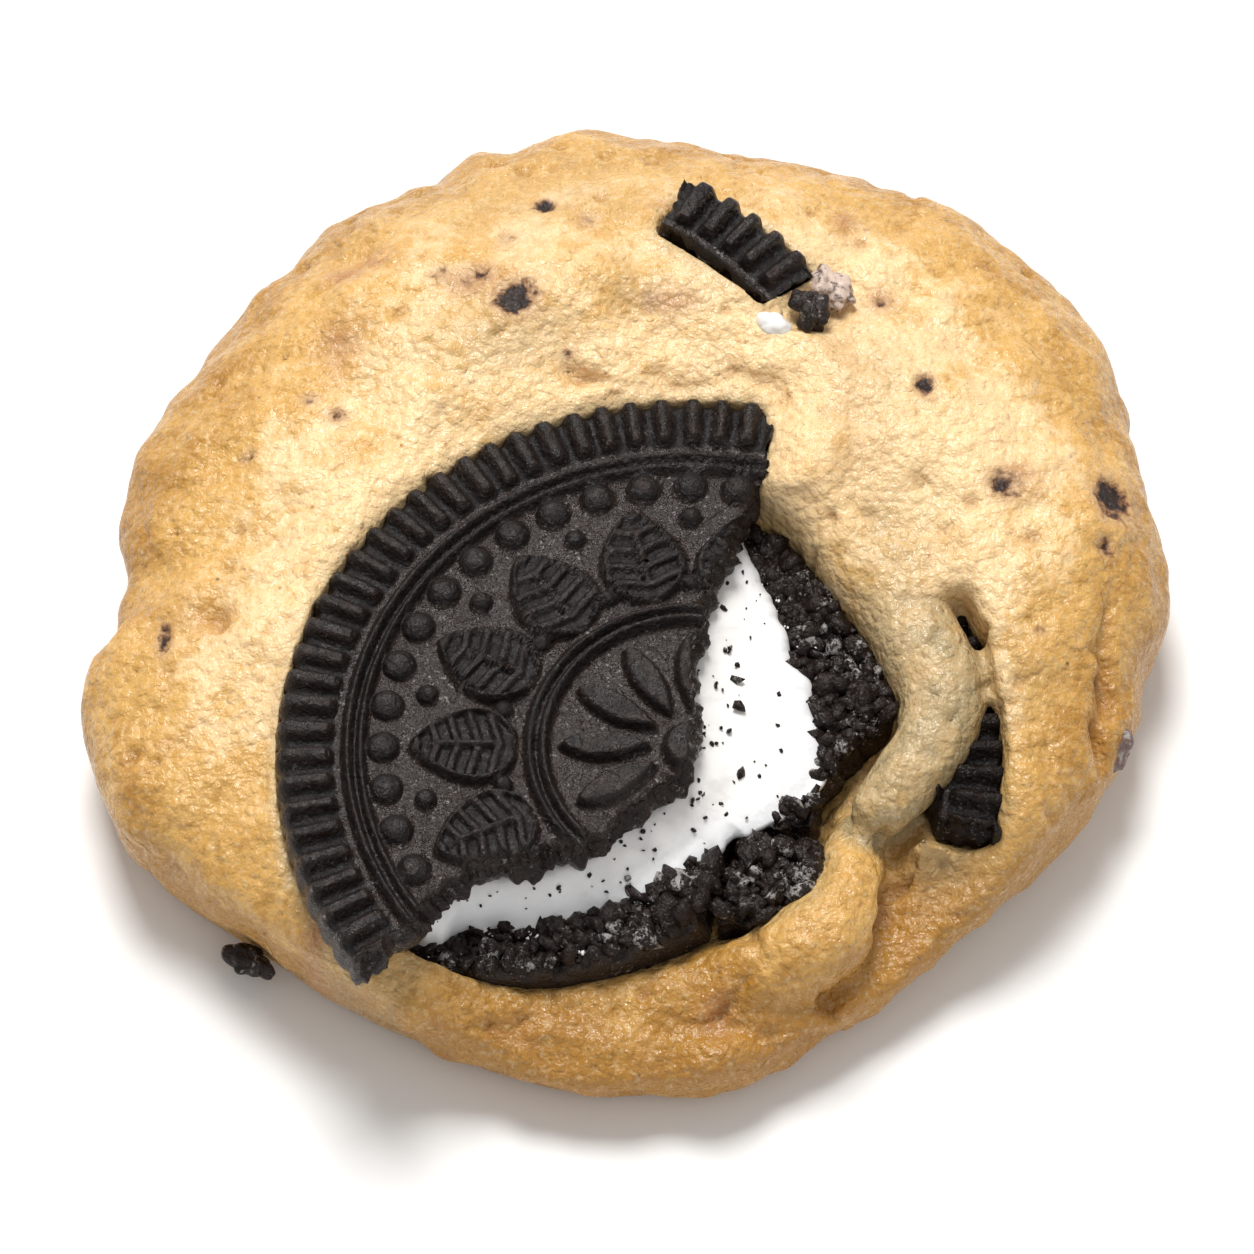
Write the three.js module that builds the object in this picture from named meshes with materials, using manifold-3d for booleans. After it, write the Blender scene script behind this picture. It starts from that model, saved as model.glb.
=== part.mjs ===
// A thick, soft-baked cookie with pieces of chocolate sandwich biscuit baked into it, in millimetres, +Z up.
// The middle of the flat underside is the origin; the biscuit pieces face the front, which is -Y.
import * as THREE from "three";
import { mergeVertices } from "three/addons/utils/BufferGeometryUtils.js";
import Module from "manifold-3d";

const wasm = await Module();
wasm.setup();

const DEGREE = Math.PI / 180;
const GAP = 0.3; // clearance between neighbouring pieces

// ---- Driving dimensions ----

// A whole sandwich biscuit, which every dark piece was broken from.
const BISCUIT = {
  radius: 22.25,
  wafer: 3.2, // thickness of one wafer, relief included
  cream: 1.4, // thickness of the filling
  creamRadius: 19.9,
  ribs: 82, // ribs round the edge of a whole wafer
  ribDepth: 0.7,
  ribInner: 0.87, // where the ribs begin, as a share of the radius
  relief: 0.7, // height of the pressed pattern
  beads: 40, // in a ring inside the ribs
  leaves: 14, // in the wreath inside the beads
  petals: 12, // of the rosette in the middle
};

// The dough: a low dome with a flat foot.
const DOUGH = {
  radius: 28.9,
  height: 13.9,
  footInset: 2.6, // the foot is this much narrower than the widest place
  widest: 5.0, // height of the widest place
  widestRise: 2.6, // how much higher that is at the front left, below the broken wafer
  widestBearing: 236,
  widestSpread: 26,
  shoulder: 2.6, // superellipse power across
  crown: 2.2, // superellipse power upwards
  columns: 84,
};

// The low bank of dough in front of the lower wafer: the bearings where it sets in and ends, and its heights.
const BANK = { from: [236, 262], to: [298, 318], crown: 7.4, widest: 3.6 };

// Swellings and flats of the outline: bearing and spread in degrees, swell in mm.
const LOBES = {
  right: { bearing: 0, spread: 18, swell: 0.6 },
  backRight: { bearing: 44, spread: 30, swell: 3.0 },
  back: { bearing: 97, spread: 18, swell: 1.4 },
  backLeft: { bearing: 150, spread: 18, swell: -0.7 },
  leftNotch: { bearing: 180, spread: 5, swell: -1.2 },
  left: { bearing: 205, spread: 20, swell: 2.5 },
  frontLeft: { bearing: 238, spread: 16, swell: 0.1 },
  front: { bearing: 270, spread: 18, swell: 0.8 },
  frontRight: { bearing: 310, spread: 22, swell: -1.6 },
};

// Rises and hollows of the upper surface: middle, reach along x and y, and height, all in mm.
const MOUNDS = {
  besideWafer: { x: -22, y: -14, reachX: 6, reachY: 10, rise: -0.4 },
  behindCream: { x: 10, y: 4.5, reachX: 4, reachY: 3.5, rise: 0.4 },
  backCrown: { x: -5, y: 16, reachX: 13, reachY: 6, rise: 1.4 },
  backSeat: { x: 8, y: 18, reachX: 6, reachY: 5, rise: 0.5 },
  besideCream: { x: 13, y: -4, reachX: 9, reachY: 9, rise: -2.2 },
  rightShoulder: { x: 22, y: 4, reachX: 7, reachY: 9, rise: 1.2 },
  frontRight: { x: 17, y: -21, reachX: 5, reachY: 4.5, rise: -1.6 },
  belowCleft: { x: 16.6, y: -18.6, reachX: 2.4, reachY: 2.2, rise: -1.3 },
  cleftFoot: { x: 18.7, y: -17.9, reachX: 2.2, reachY: 2.0, rise: -1.2 },
  backDent: { x: -9.5, y: 14.5, reachX: 3.2, reachY: 2.2, rise: -0.5 },
  leftDent: { x: -14.5, y: 6.5, reachX: 2.6, reachY: 4.5, rise: -0.5 },
  behindEnd: { x: 10.5, y: 10.2, reachX: 3.6, reachY: 2.0, rise: 0.5 },
};

// The hollow that the lower wafer lies in: the corners it spans, its level and how far its slope reaches.
const HOLLOW = {
  corners: [[-12, -21.5], [-7, -23.4], [-3.6, -23.8], [0, -23.2], [3.5, -22], [6.5, -20.6], [9.8, -20],
    [10.4, -16.5], [11.2, -13.8], [14.3, -9.6], [14.6, -8.4], [13, -5], [10.8, -1.2], [8.6, 1.2], [6.2, 2.7],
    [0, -6]],
  level: 5.0,
  backLevel: 8.2, // behind the wafer the dough comes up level with it
  reach: 2.6,
};

// Creases: the points they run through, how wide and how deep they are.
const CREASES = {
  behindWafer: { path: [[-3.4, 10.3], [0.4, 9.3], [3.8, 9.8], [8.4, 9.2]], width: 1.4, depth: 0.7 },
  rightLobe: { path: [[25.6, 6], [26.3, 0.5], [26.6, -4.9], [26.7, -8.6]], width: 1.6, depth: 0.9 },
  leftFold: { path: [[-30, -2.2], [-27, -3.4], [-23, -5]], width: 1.8, depth: 1.0 },
};

// The low ground that the folds lie on: its corners, its level and how wide its slope is.
const UNDER_FOLDS = {
  corners: [[13.9, -9.6], [15.8, -10.4], [16.6, -12.5], [15.9, -15], [15.3, -17.2], [15, -20.4],
    [13.6, -22.9], [11.6, -24.3], [9.4, -24.9], [7, -24.9], [7.5, -22], [10.6, -19.5], [11, -16],
    [11.4, -13.6]],
  level: 5.6,
  slope: 0.8,
};

// Folds of dough pressed up against the biscuit: centre line [x, y, z] and radius at each point.
const FOLDS = {
  right: {
    path: [[14.2, 2.6, 8.8], [14.9, -1.7, 8.9], [15.9, -4.6, 8.9], [17.6, -8.0, 8.8], [17.1, -10.4, 8.5],
      [15.9, -12.4, 8.3], [14.5, -14.0, 8.1], [13.8, -14.8, 8.0]],
    radii: [2.0, 2.1, 2.15, 2.5, 2.45, 2.3, 2.1, 1.8],
  },
  front: {
    path: [[15.0, -13.8, 6.2], [13.2, -14.9, 6.0], [12.2, -16.4, 6.0], [12.4, -18.3, 6.2], [12.0, -20.0, 6.2],
      [10.2, -22.3, 5.9], [7.2, -23.6, 5.1], [3.2, -24.6, 4.0]],
    radii: [1.2, 1.4, 1.6, 2.0, 2.5, 2.8, 2.4, 1.6],
  },
};

// The cleft between the right fold and the shoulder, with a piece of biscuit deep in it.
const CLEFT = {
  path: [[18.9, -3.0, 12.0], [19.4, -5.4, 10.8], [19.7, -8.6, 10.2], [19.6, -11.0, 9.6], [18.9, -13.6, 9.0],
    [17.8, -15.6, 8.6], [16.6, -17.0, 9.0]],
  radii: [0.5, 0.9, 0.9, 1.5, 2.2, 2.2, 1.3],
};

// How the dough meets the upper wafer: it starts this far below the wafer's face and rises outwards.
const BESIDE_WAFER = { below: 0.55, slope: 0.34 };

// ---- Small tools ----

// A number in -1..1 that depends only on its seed.
function chance(seed) {
  const value = Math.sin(seed * 127.1 + 311.7) * 43758.5453;
  return 2 * (value - Math.floor(value)) - 1;
}

function bell(distance) {
  return Math.exp(-distance * distance);
}

function smoothStep(from, to, value) {
  const share = Math.min(1, Math.max(0, (value - from) / (to - from)));
  return share * share * (3 - 2 * share);
}

// Degrees from one bearing to another, in -180..180.
function turnBetween(from, to) {
  return ((to - from + 540) % 360 + 360) % 360 - 180;
}

// Distance from (x, y) to a broken line.
function distanceToPath(x, y, path) {
  let nearest = Infinity;
  for (let i = 1; i < path.length; i += 1) {
    const [ax, ay] = path[i - 1];
    const [bx, by] = path[i];
    const along = ((x - ax) * (bx - ax) + (y - ay) * (by - ay)) / ((bx - ax) ** 2 + (by - ay) ** 2);
    const share = Math.min(1, Math.max(0, along));
    nearest = Math.min(nearest, Math.hypot(x - ax - share * (bx - ax), y - ay - share * (by - ay)));
  }
  return nearest;
}

// Distance from (x, y) to a region given by its corners, 0 inside it.
function distanceToRegion(x, y, corners) {
  let inside = false;
  corners.forEach(([ax, ay], i) => {
    const [bx, by] = corners[(i + 1) % corners.length];
    if ((ay > y) !== (by > y) && x < ax + ((y - ay) / (by - ay)) * (bx - ax)) inside = !inside;
  });
  return inside ? 0 : distanceToPath(x, y, [...corners, corners[0]]);
}

// A closed surface from rings of points, each ring closed on itself, with a point at either end.
function geometryOfRings(first, rings, last) {
  const columns = rings[0].length;
  const points = [first, ...rings.flat(), last];
  const index = [];
  const at = (row, column) => 1 + row * columns + (column % columns);
  for (let c = 0; c < columns; c += 1) {
    index.push(0, at(0, c + 1), at(0, c));
    for (let r = 0; r + 1 < rings.length; r += 1) {
      index.push(at(r, c), at(r, c + 1), at(r + 1, c + 1), at(r, c), at(r + 1, c + 1), at(r + 1, c));
    }
    index.push(points.length - 1, at(rings.length - 1, c), at(rings.length - 1, c + 1));
  }
  const geometry = new THREE.BufferGeometry();
  geometry.setAttribute("position", new THREE.Float32BufferAttribute(points.flat(), 3));
  geometry.setIndex(index);
  return geometry;
}

function solidOf(geometry) {
  const bare = geometry.clone();
  bare.deleteAttribute("normal");
  bare.deleteAttribute("uv");
  const merged = mergeVertices(bare, 1e-4);
  return new wasm.Manifold(new wasm.Mesh({
    numProp: 3,
    vertProperties: new Float32Array(merged.attributes.position.array),
    triVerts: new Uint32Array(merged.index.array),
  }));
}

function geometryOf(solid) {
  const mesh = solid.getMesh();
  const geometry = new THREE.BufferGeometry();
  geometry.setAttribute("position", new THREE.BufferAttribute(new Float32Array(mesh.vertProperties), 3));
  geometry.setIndex(new THREE.BufferAttribute(new Uint32Array(mesh.triVerts), 1));
  geometry.computeVertexNormals();
  return geometry;
}

// The largest of the bodies in a solid, which drops scraps that a cut leaves loose.
function largestBody(solid) {
  const bodies = solid.decompose();
  return bodies.reduce((best, body) => (body.volume() > best.volume() ? body : best));
}

// Where a piece lies: its middle, then a tilt down towards a bearing, then a turn about its own axis.
function placement({ x, y, z, tilt = 0, towards = 0, turn = 0 }) {
  const axis = new THREE.Vector3(-Math.sin(towards * DEGREE), Math.cos(towards * DEGREE), 0);
  const lean = new THREE.Quaternion().setFromAxisAngle(axis, tilt * DEGREE);
  const spin = new THREE.Quaternion().setFromAxisAngle(new THREE.Vector3(0, 0, 1), turn * DEGREE);
  return new THREE.Matrix4().compose(
    new THREE.Vector3(x, y, z), lean.multiply(spin), new THREE.Vector3(1, 1, 1));
}

// ---- Biscuit ----

// Height of the pressed face of a wafer, in 0..1, at a share of its radius and a bearing in degrees:
// ribs at the edge, a plain ring, a ring of beads, a wreath of pointed leaves, a second ring and a rosette.
function waferFace(share, bearing) {
  const offSpoke = (spokes) => Math.abs(turnBetween(0, bearing * spokes)) / 180;
  if (share > BISCUIT.ribInner) {
    const rib = ((bearing * BISCUIT.ribs) / 360) % 1;
    return rib > 0.2 && rib < 0.8 ? 1 : 0.1;
  }
  if (share > 0.797) return share > 0.848 ? 0.1 : 0.95;
  if (share > 0.69) return share > 0.72 && share < 0.785 && offSpoke(BISCUIT.beads) < 0.6 ? 0.9 : 0.15;
  if (share > 0.42) {
    const halfWidth = 0.9 * Math.sin(Math.PI * Math.min(1, ((share - 0.42) / 0.27) * 0.9 + 0.08));
    return offSpoke(BISCUIT.leaves) < halfWidth ? 0.9 : 0.15;
  }
  if (share > 0.345) return 0.9;
  if (share < 0.06) return 0.9;
  return share > 0.09 && share < 0.32 && offSpoke(BISCUIT.petals) < 0.66 ? 0.85 : 0.15;
}

// A whole wafer about the origin, its pattern upwards: the face is a polar grid, the back is flat.
function waferDisc() {
  const columns = BISCUIT.ribs * 3;
  const shares = [0.05, 0.1, 0.3, 0.35, 0.405, 0.45, 0.56, 0.66, 0.7, 0.73, 0.775, 0.802, 0.842, 0.86,
    0.875, 0.98];
  const ringAt = (radius, height) => Array.from({ length: columns }, (_, c) => {
    const bearing = (360 * c) / columns;
    return [radius * Math.cos(bearing * DEGREE), radius * Math.sin(bearing * DEGREE), height(bearing)];
  });
  const base = BISCUIT.wafer - Math.max(BISCUIT.relief, BISCUIT.ribDepth);
  const face = (share) => (bearing) => {
    const depth = share > BISCUIT.ribInner ? BISCUIT.ribDepth : BISCUIT.relief;
    return base + depth * waferFace(share, bearing + 0.3);
  };
  const rings = [
    ringAt(BISCUIT.radius - 0.5, () => 0),
    ringAt(BISCUIT.radius, () => 0.6),
    ringAt(BISCUIT.radius, () => base - 0.5),
    ...shares.reverse().map((share) => ringAt(share * BISCUIT.radius, face(share))),
  ];
  return solidOf(geometryOfRings([0, 0, 0], rings, [0, 0, base + 0.3 * BISCUIT.relief]));
}

// A plain disc about the origin, for the inner face of a wafer or for the filling.
function plainDisc(radius, height, edge) {
  const profile = [
    new THREE.Vector2(0, 0),
    new THREE.Vector2(radius - edge, 0),
    new THREE.Vector2(radius, edge),
    new THREE.Vector2(radius, height - edge),
    new THREE.Vector2(radius - edge, height),
    new THREE.Vector2(0, height),
  ];
  const lathe = new THREE.LatheGeometry(profile, 120);
  lathe.rotateX(Math.PI / 2);
  return solidOf(lathe);
}

// Points from one corner to the next along a break: it bows sideways and crumbles at random.
function brokenEdge(from, to, { bow = 0, crumb = 0.35, step = 1.1, seed = 1 } = {}) {
  const length = Math.hypot(to[0] - from[0], to[1] - from[1]);
  const count = Math.max(2, Math.round(length / step));
  const across = [-(to[1] - from[1]) / length, (to[0] - from[0]) / length];
  return Array.from({ length: count }, (_, i) => {
    const share = i / count;
    const aside = bow * Math.sin(Math.PI * share) + (i ? crumb * chance(seed + 7.3 * i) : 0);
    return [from[0] + share * (to[0] - from[0]) + aside * across[0],
      from[1] + share * (to[1] - from[1]) + aside * across[1]];
  });
}

// A closed outline from corners, each with the break that leads to the next one.
function outlineOf(corners) {
  return corners.flatMap((corner, i) => brokenEdge(corner.at, corners[(i + 1) % corners.length].at, corner));
}

// An upright block over an outline, optionally grown outwards.
function blockOver(outline, bottom, top, grow = 0) {
  const points = outline.map(([x, y]) => new THREE.Vector2(x, y));
  const clockwise = THREE.ShapeUtils.isClockWise(points);
  const grown = points.map((point, i) => {
    const before = points[(i + points.length - 1) % points.length];
    const after = points[(i + 1) % points.length];
    const along = after.clone().sub(before).normalize();
    const outward = new THREE.Vector2(along.y, -along.x).multiplyScalar(clockwise ? -grow : grow);
    return point.clone().add(outward);
  });
  const block = new THREE.ExtrudeGeometry(
    new THREE.Shape(grown), { depth: top - bottom, bevelEnabled: false });
  block.translate(0, 0, bottom);
  return solidOf(block);
}

// A fan of points well outside the disc between two bearings, which closes the outline of a fragment
// that keeps its round edge there.
function beyondRim(fromBearing, toBearing) {
  const count = Math.max(2, Math.round(Math.abs(toBearing - fromBearing) / 24));
  const reach = BISCUIT.radius * 1.15;
  return Array.from({ length: count + 1 }, (_, i) => {
    const bearing = (fromBearing + ((toBearing - fromBearing) * i) / count) * DEGREE;
    return { at: [reach * Math.cos(bearing), reach * Math.sin(bearing)], crumb: 0, step: 100 };
  });
}

// ---- Pieces: each gives its solid where it lies, and the space that the dough leaves for it ----

const TOP_WAFER = { x: 3.5, y: -13.6, z: 10.0, tilt: 1.5, towards: 80 };
const BASE_WAFER = { x: -7.1, y: -2.2, z: 4.1, tilt: 2, towards: 185 };

// The broken edges of the big piece of upper wafer, about its own middle, from the back rim to the front rim.
const TOP_WAFER_RIM = [216.5, 80]; // bearings between which it keeps its round edge
const TOP_WAFER_BREAK = [
  { at: [3.9, 21.9], crumb: 0.25, step: 1.0, seed: 3 },
  { at: [4.3, 18.4], crumb: 0.4, step: 1.0, seed: 11 },
  { at: [1.6, 11.4], crumb: 0.3, step: 1.0, seed: 17 },
  { at: [-0.1, 6.4], crumb: 0.3, step: 1.0, seed: 23 },
  { at: [0.3, 0.0], crumb: 0.3, step: 0.9, seed: 29 },
  { at: [-2.2, -2.8], crumb: 0.4, step: 1.0, seed: 37 },
  { at: [-6.4, -6.1], crumb: 0.35, step: 1.0, seed: 41 },
  { at: [-11.9, -7.0], crumb: 0.35, step: 1.0, seed: 47 },
  { at: [-13.9, -8.5], crumb: 0.3, step: 1.0, seed: 53 },
  { at: [-15.1, -11.0], crumb: 0.2, step: 1.0, seed: 59 },
  { at: [-16.4, -12.4], crumb: 0, step: 100 },
];

// The outline of the lower wafer about its own middle: its round front edge, the corner on the right
// and the hidden break under the upper wafer.
const BASE_WAFER_BREAK = [
  { at: [17.6, -11.4], crumb: 0.4, step: 1.0, seed: 61 },
  { at: [18.9, -9.4], crumb: 0.3, step: 1.0, seed: 67 },
  { at: [22.0, -6.6], crumb: 0.35, step: 1.0, seed: 71 },
  { at: [20.5, -2.7], crumb: 0.4, step: 1.0, seed: 73 },
  { at: [16.2, 3.8], crumb: 0.35, step: 1.0, seed: 79 },
  { at: [13.6, 5.6], crumb: 0.3, step: 1.4, seed: 83 },
  { at: [8.5, 5.5], crumb: 0.5, step: 2.2, seed: 89 },
];

// The corner of the lower wafer that has cracked off and slid a little forwards.
const CHUNK_BREAK = [
  { at: [13.6, -13.6], crumb: 0.3, step: 0.9, seed: 97 },
  { at: [17.6, -13.9], crumb: 0.3, step: 0.9, seed: 101 },
  { at: [17.2, -18.1], crumb: 0.35, step: 0.9, seed: 103 },
  { at: [11.9, -19.1], crumb: 0.3, step: 0.9, seed: 107 },
];

// A wafer fragment: part of the disc inside an outline, placed, and the pocket round it.
function fragment(disc, outline, place, depth) {
  const matrix = placement(place).toArray();
  const piece = largestBody(disc.intersect(blockOver(outline, -1, depth + 1)));
  const pocket = disc
    .scale([1 + GAP / BISCUIT.radius, 1 + GAP / BISCUIT.radius, 1])
    .intersect(blockOver(outline, -1, depth + 1, GAP))
    .hull();
  return { solid: piece.transform(matrix), pocket: pocket.transform(matrix) };
}

const wafer = waferDisc();

function topWafer() {
  const outline = outlineOf([...TOP_WAFER_BREAK, ...beyondRim(...TOP_WAFER_RIM)]);
  const matrix = placement(TOP_WAFER).toArray();
  const seat = blockOver(outline, -GAP, 12, GAP)
    .intersect(plainDisc(BISCUIT.radius + GAP, 12, 0.1).translate([0, 0, -GAP]));
  const solid = largestBody(wafer.intersect(blockOver(outline, -1, 6)));
  return { solid: solid.transform(matrix), pocket: seat.transform(matrix) };
}

function lowerOutline() {
  return outlineOf([...beyondRim(252, 321), ...BASE_WAFER_BREAK]);
}

function baseWafer(chunkSpace) {
  const matrix = placement(BASE_WAFER).toArray();
  const disc = plainDisc(BISCUIT.radius, BISCUIT.wafer, 0.5);
  const outline = lowerOutline();
  const solid = disc.intersect(blockOver(outline, -1, 6)).transform(matrix).subtract(chunkSpace);
  const pocket = plainDisc(BISCUIT.radius + GAP, 16, 0.1).translate([0, 0, -GAP])
    .intersect(blockOver(outline, -1, 20, GAP));
  return { solid: largestBody(solid), pocket: pocket.transform(matrix) };
}

function baseChunk() {
  const matrix = placement({ ...BASE_WAFER, tilt: 2.5, towards: 230 }).toArray();
  const outline = outlineOf(CHUNK_BREAK);
  const disc = plainDisc(BISCUIT.radius + 0.8, BISCUIT.wafer, 0.5);
  return {
    solid: largestBody(disc.intersect(blockOver(outline, -1, 6))).transform(matrix),
    pocket: blockOver(outline, -GAP - 0.3, 18, GAP).transform(matrix),
  };
}

// The filling: a disc inside the lower wafer's outline, thinner towards its edge where it shows.
function cream() {
  const bottom = BISCUIT.wafer + GAP;
  const rings = [
    [1, 0], [1.005, 0.2], [0.97, 0.45], [0.9, 0.8], [0.8, 1.1], [0.66, BISCUIT.cream - 0.2],
    [0.3, BISCUIT.cream],
  ].map(([share, height]) => Array.from({ length: 60 }, (_, c) => {
    const bearing = c * 6 * DEGREE;
    const smear = 1.2 * bell(turnBetween(259, c * 6) / 9);
    const radius = (BISCUIT.creamRadius + smear) * share + 0.35 * chance(c + 0.5);
    return [radius * Math.cos(bearing), radius * Math.sin(bearing), height + 0.06 * chance(c * 3 + share)];
  }));
  const disc = solidOf(geometryOfRings([0, 0, 0], rings, [0, 0, BISCUIT.cream]));
  const outline = outlineOf([
    ...beyondRim(255, 313),
    { at: [17.0, -12.3], crumb: 0.4, step: 1.0, seed: 113 },
    { at: [18.0, -9.6], crumb: 0.45, step: 1.0, seed: 127 },
    { at: [17.2, -5.4], crumb: 0.45, step: 1.0, seed: 131 },
    { at: [14.6, 1.4], crumb: 0.4, step: 1.0, seed: 137 },
    { at: [13.0, 5.2], crumb: 0.3, step: 1.4, seed: 139 },
    { at: [9.4, 4.0], crumb: 0.4, step: 2.2, seed: 149 },
  ]);
  const solid = largestBody(disc.intersect(blockOver(outline, -1, 6)));
  return solid.translate([0, 0, bottom]).transform(placement(BASE_WAFER).toArray());
}

// A short length of ribbed wafer edge between two bearings, from an inner share of the radius outwards.
function edgePiece(place, fromBearing, toBearing, inner, seed) {
  const corner = (share, bearing) => [
    share * BISCUIT.radius * Math.cos(bearing * DEGREE), share * BISCUIT.radius * Math.sin(bearing * DEGREE)];
  const outline = outlineOf([
    { at: corner(1.1, fromBearing), crumb: 0.2, step: 1.0, seed },
    { at: corner(inner, fromBearing), crumb: 0.3, step: 1.0, seed: seed + 3 },
    { at: corner(inner, toBearing), crumb: 0.2, step: 1.0, seed: seed + 5 },
    { at: corner(1.1, toBearing), crumb: 0, step: 100 },
  ]);
  return fragment(wafer, outline, place, BISCUIT.wafer);
}

// A crumbly lump: a low sphere with its surface moved in and out at random.
function lump({ at, size, turn = 0, seed }) {
  const ball = new THREE.SphereGeometry(0.5, 10, 7);
  ball.deleteAttribute("normal");
  ball.deleteAttribute("uv");
  const geometry = mergeVertices(ball, 1e-4);
  const position = geometry.attributes.position;
  for (let i = 0; i < position.count; i += 1) {
    const grow = 1 + 0.16 * chance(seed + i * 2.3);
    position.setXYZ(i, position.getX(i) * grow * size[0], position.getY(i) * grow * size[1],
      position.getZ(i) * grow * size[2]);
  }
  geometry.rotateZ(turn * DEGREE);
  geometry.translate(...at);
  return solidOf(geometry);
}

// A lump and the slightly larger pocket that it sits in.
function lumpInPocket(spec) {
  const roomy = spec.size.map((side) => side * 1.12 + 2 * GAP);
  return { solid: lump(spec), pocket: lump({ ...spec, size: roomy }) };
}

// ---- Dough ----

function outlineRadius(bearing) {
  let radius = DOUGH.radius;
  for (const lobe of Object.values(LOBES)) {
    radius += lobe.swell * bell(turnBetween(lobe.bearing, bearing) / lobe.spread);
  }
  return radius;
}

// How far the surface follows the front bank at a bearing, 0 to 1.
function bankShare(bearing) {
  return smoothStep(...BANK.from, bearing) * (1 - smoothStep(...BANK.to, bearing));
}

function widestHeight(bearing) {
  const rise = DOUGH.widestRise * bell(turnBetween(DOUGH.widestBearing, bearing) / DOUGH.widestSpread);
  return DOUGH.widest + rise + (BANK.widest - DOUGH.widest - rise) * bankShare(bearing);
}

// How far the mounds, hollows and creases lift the upper surface at (x, y).
function surfaceLift(x, y) {
  let lift = 0;
  for (const mound of Object.values(MOUNDS)) {
    lift += mound.rise * bell(Math.hypot((x - mound.x) / mound.reachX, (y - mound.y) / mound.reachY));
  }
  for (const crease of Object.values(CREASES)) {
    lift -= crease.depth * bell(distanceToPath(x, y, crease.path) / crease.width);
  }
  return lift;
}

// The corners of the upper wafer where it lies, its round edge in steps.
function topWaferRegion() {
  const [from, to] = TOP_WAFER_RIM;
  const rim = Array.from({ length: 15 }, (_, i) => {
    const bearing = (from + ((to - from) * i) / 14) * DEGREE;
    return [BISCUIT.radius * Math.cos(bearing), BISCUIT.radius * Math.sin(bearing)];
  });
  return [...TOP_WAFER_BREAK.map(({ at }) => at), ...rim].map(([x, y]) => [x + TOP_WAFER.x, y + TOP_WAFER.y]);
}

// The highest that the dough may stand at (x, y) beside the upper wafer.
function brink(x, y, region) {
  const bearing = TOP_WAFER.towards * DEGREE;
  const ahead = (x - TOP_WAFER.x) * Math.cos(bearing) + (y - TOP_WAFER.y) * Math.sin(bearing);
  const face = TOP_WAFER.z + BISCUIT.wafer - ahead * Math.tan(TOP_WAFER.tilt * DEGREE);
  return face - BESIDE_WAFER.below + BESIDE_WAFER.slope * distanceToRegion(x, y, region);
}

function doughBody() {
  const waferRegion = topWaferRegion();
  const bearings = Array.from({ length: DOUGH.columns }, (_, c) => (360 * c) / DOUGH.columns);
  const ring = (pointAt) => bearings.map((bearing) => {
    const [radius, z] = pointAt(bearing);
    return [radius * Math.cos(bearing * DEGREE), radius * Math.sin(bearing * DEGREE), z];
  });
  const footRing = (share) => ring((bearing) => [share * (outlineRadius(bearing) - DOUGH.footInset), 0]);
  const sideRing = (angle) => ring((bearing) => [
    outlineRadius(bearing) - DOUGH.footInset * (1 - Math.sin(angle)),
    widestHeight(bearing) * (1 - Math.cos(angle)),
  ]);
  const topRing = (angle) => ring((bearing) => {
    const share = Math.cos(angle) ** (2 / DOUGH.shoulder);
    const radius = outlineRadius(bearing) * share;
    const low = widestHeight(bearing);
    const banked = bankShare(bearing) * smoothStep(0.4, 0.7, share);
    const crown = DOUGH.height + (BANK.crown - DOUGH.height) * banked;
    const rise = (crown - low) * Math.sin(angle) ** (2 / DOUGH.crown);
    const [x, y] = [radius * Math.cos(bearing * DEGREE), radius * Math.sin(bearing * DEGREE)];
    const dome = low + rise + surfaceLift(x, y) * smoothStep(0, 0.5, angle);
    const level = HOLLOW.level + (HOLLOW.backLevel - HOLLOW.level) * smoothStep(-13, -7, y);
    const away = Math.min(1, distanceToRegion(x, y, HOLLOW.corners) / HOLLOW.reach);
    const slope = Math.sin((away * Math.PI) / 2) ** 0.8;
    const bowl = Math.min(dome, level + (dome - level) * slope, brink(x, y, waferRegion));
    const lowered = 1 - smoothStep(0, UNDER_FOLDS.slope, distanceToRegion(x, y, UNDER_FOLDS.corners));
    return [radius, bowl + (Math.min(UNDER_FOLDS.level, bowl) - bowl) * lowered];
  });
  const sideAngles = [20, 40, 62].map((angle) => angle * DEGREE);
  const topAngles = Array.from({ length: 22 }, (_, i) => ((i + 0.02) / 22) * 90 * DEGREE);
  const rings = [footRing(0.5), footRing(1), ...sideAngles.map(sideRing), ...topAngles.map(topRing)];
  return solidOf(geometryOfRings([0, 0, 0], rings, [0, 0, brink(0, 0, waferRegion)]));
}

// A rounded roll along a centre line, its radius changing from point to point.
function roll({ path, radii }) {
  const curve = new THREE.CatmullRomCurve3(path.map((point) => new THREE.Vector3(...point)));
  const steps = 14;
  const sides = 12;
  const radiusAt = (share) => {
    const place = share * (radii.length - 1);
    const i = Math.min(radii.length - 2, Math.floor(place));
    return radii[i] + (place - i) * (radii[i + 1] - radii[i]);
  };
  const up = new THREE.Vector3(0, 0, 1);
  const rings = Array.from({ length: steps + 1 }, (_, s) => {
    const share = s / steps;
    const middle = curve.getPoint(share);
    const across = curve.getTangent(share).cross(up).normalize();
    return Array.from({ length: sides }, (_, k) => {
      const angle = (2 * Math.PI * k) / sides;
      return middle.clone()
        .addScaledVector(across, radiusAt(share) * Math.cos(angle))
        .addScaledVector(up, -radiusAt(share) * Math.sin(angle))
        .toArray();
    });
  });
  const capAt = (share, away) => curve.getPoint(share)
    .addScaledVector(curve.getTangent(share), away * 0.6 * radiusAt(share)).toArray();
  return solidOf(geometryOfRings(capAt(0, -1), rings, capAt(1, 1)));
}

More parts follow.
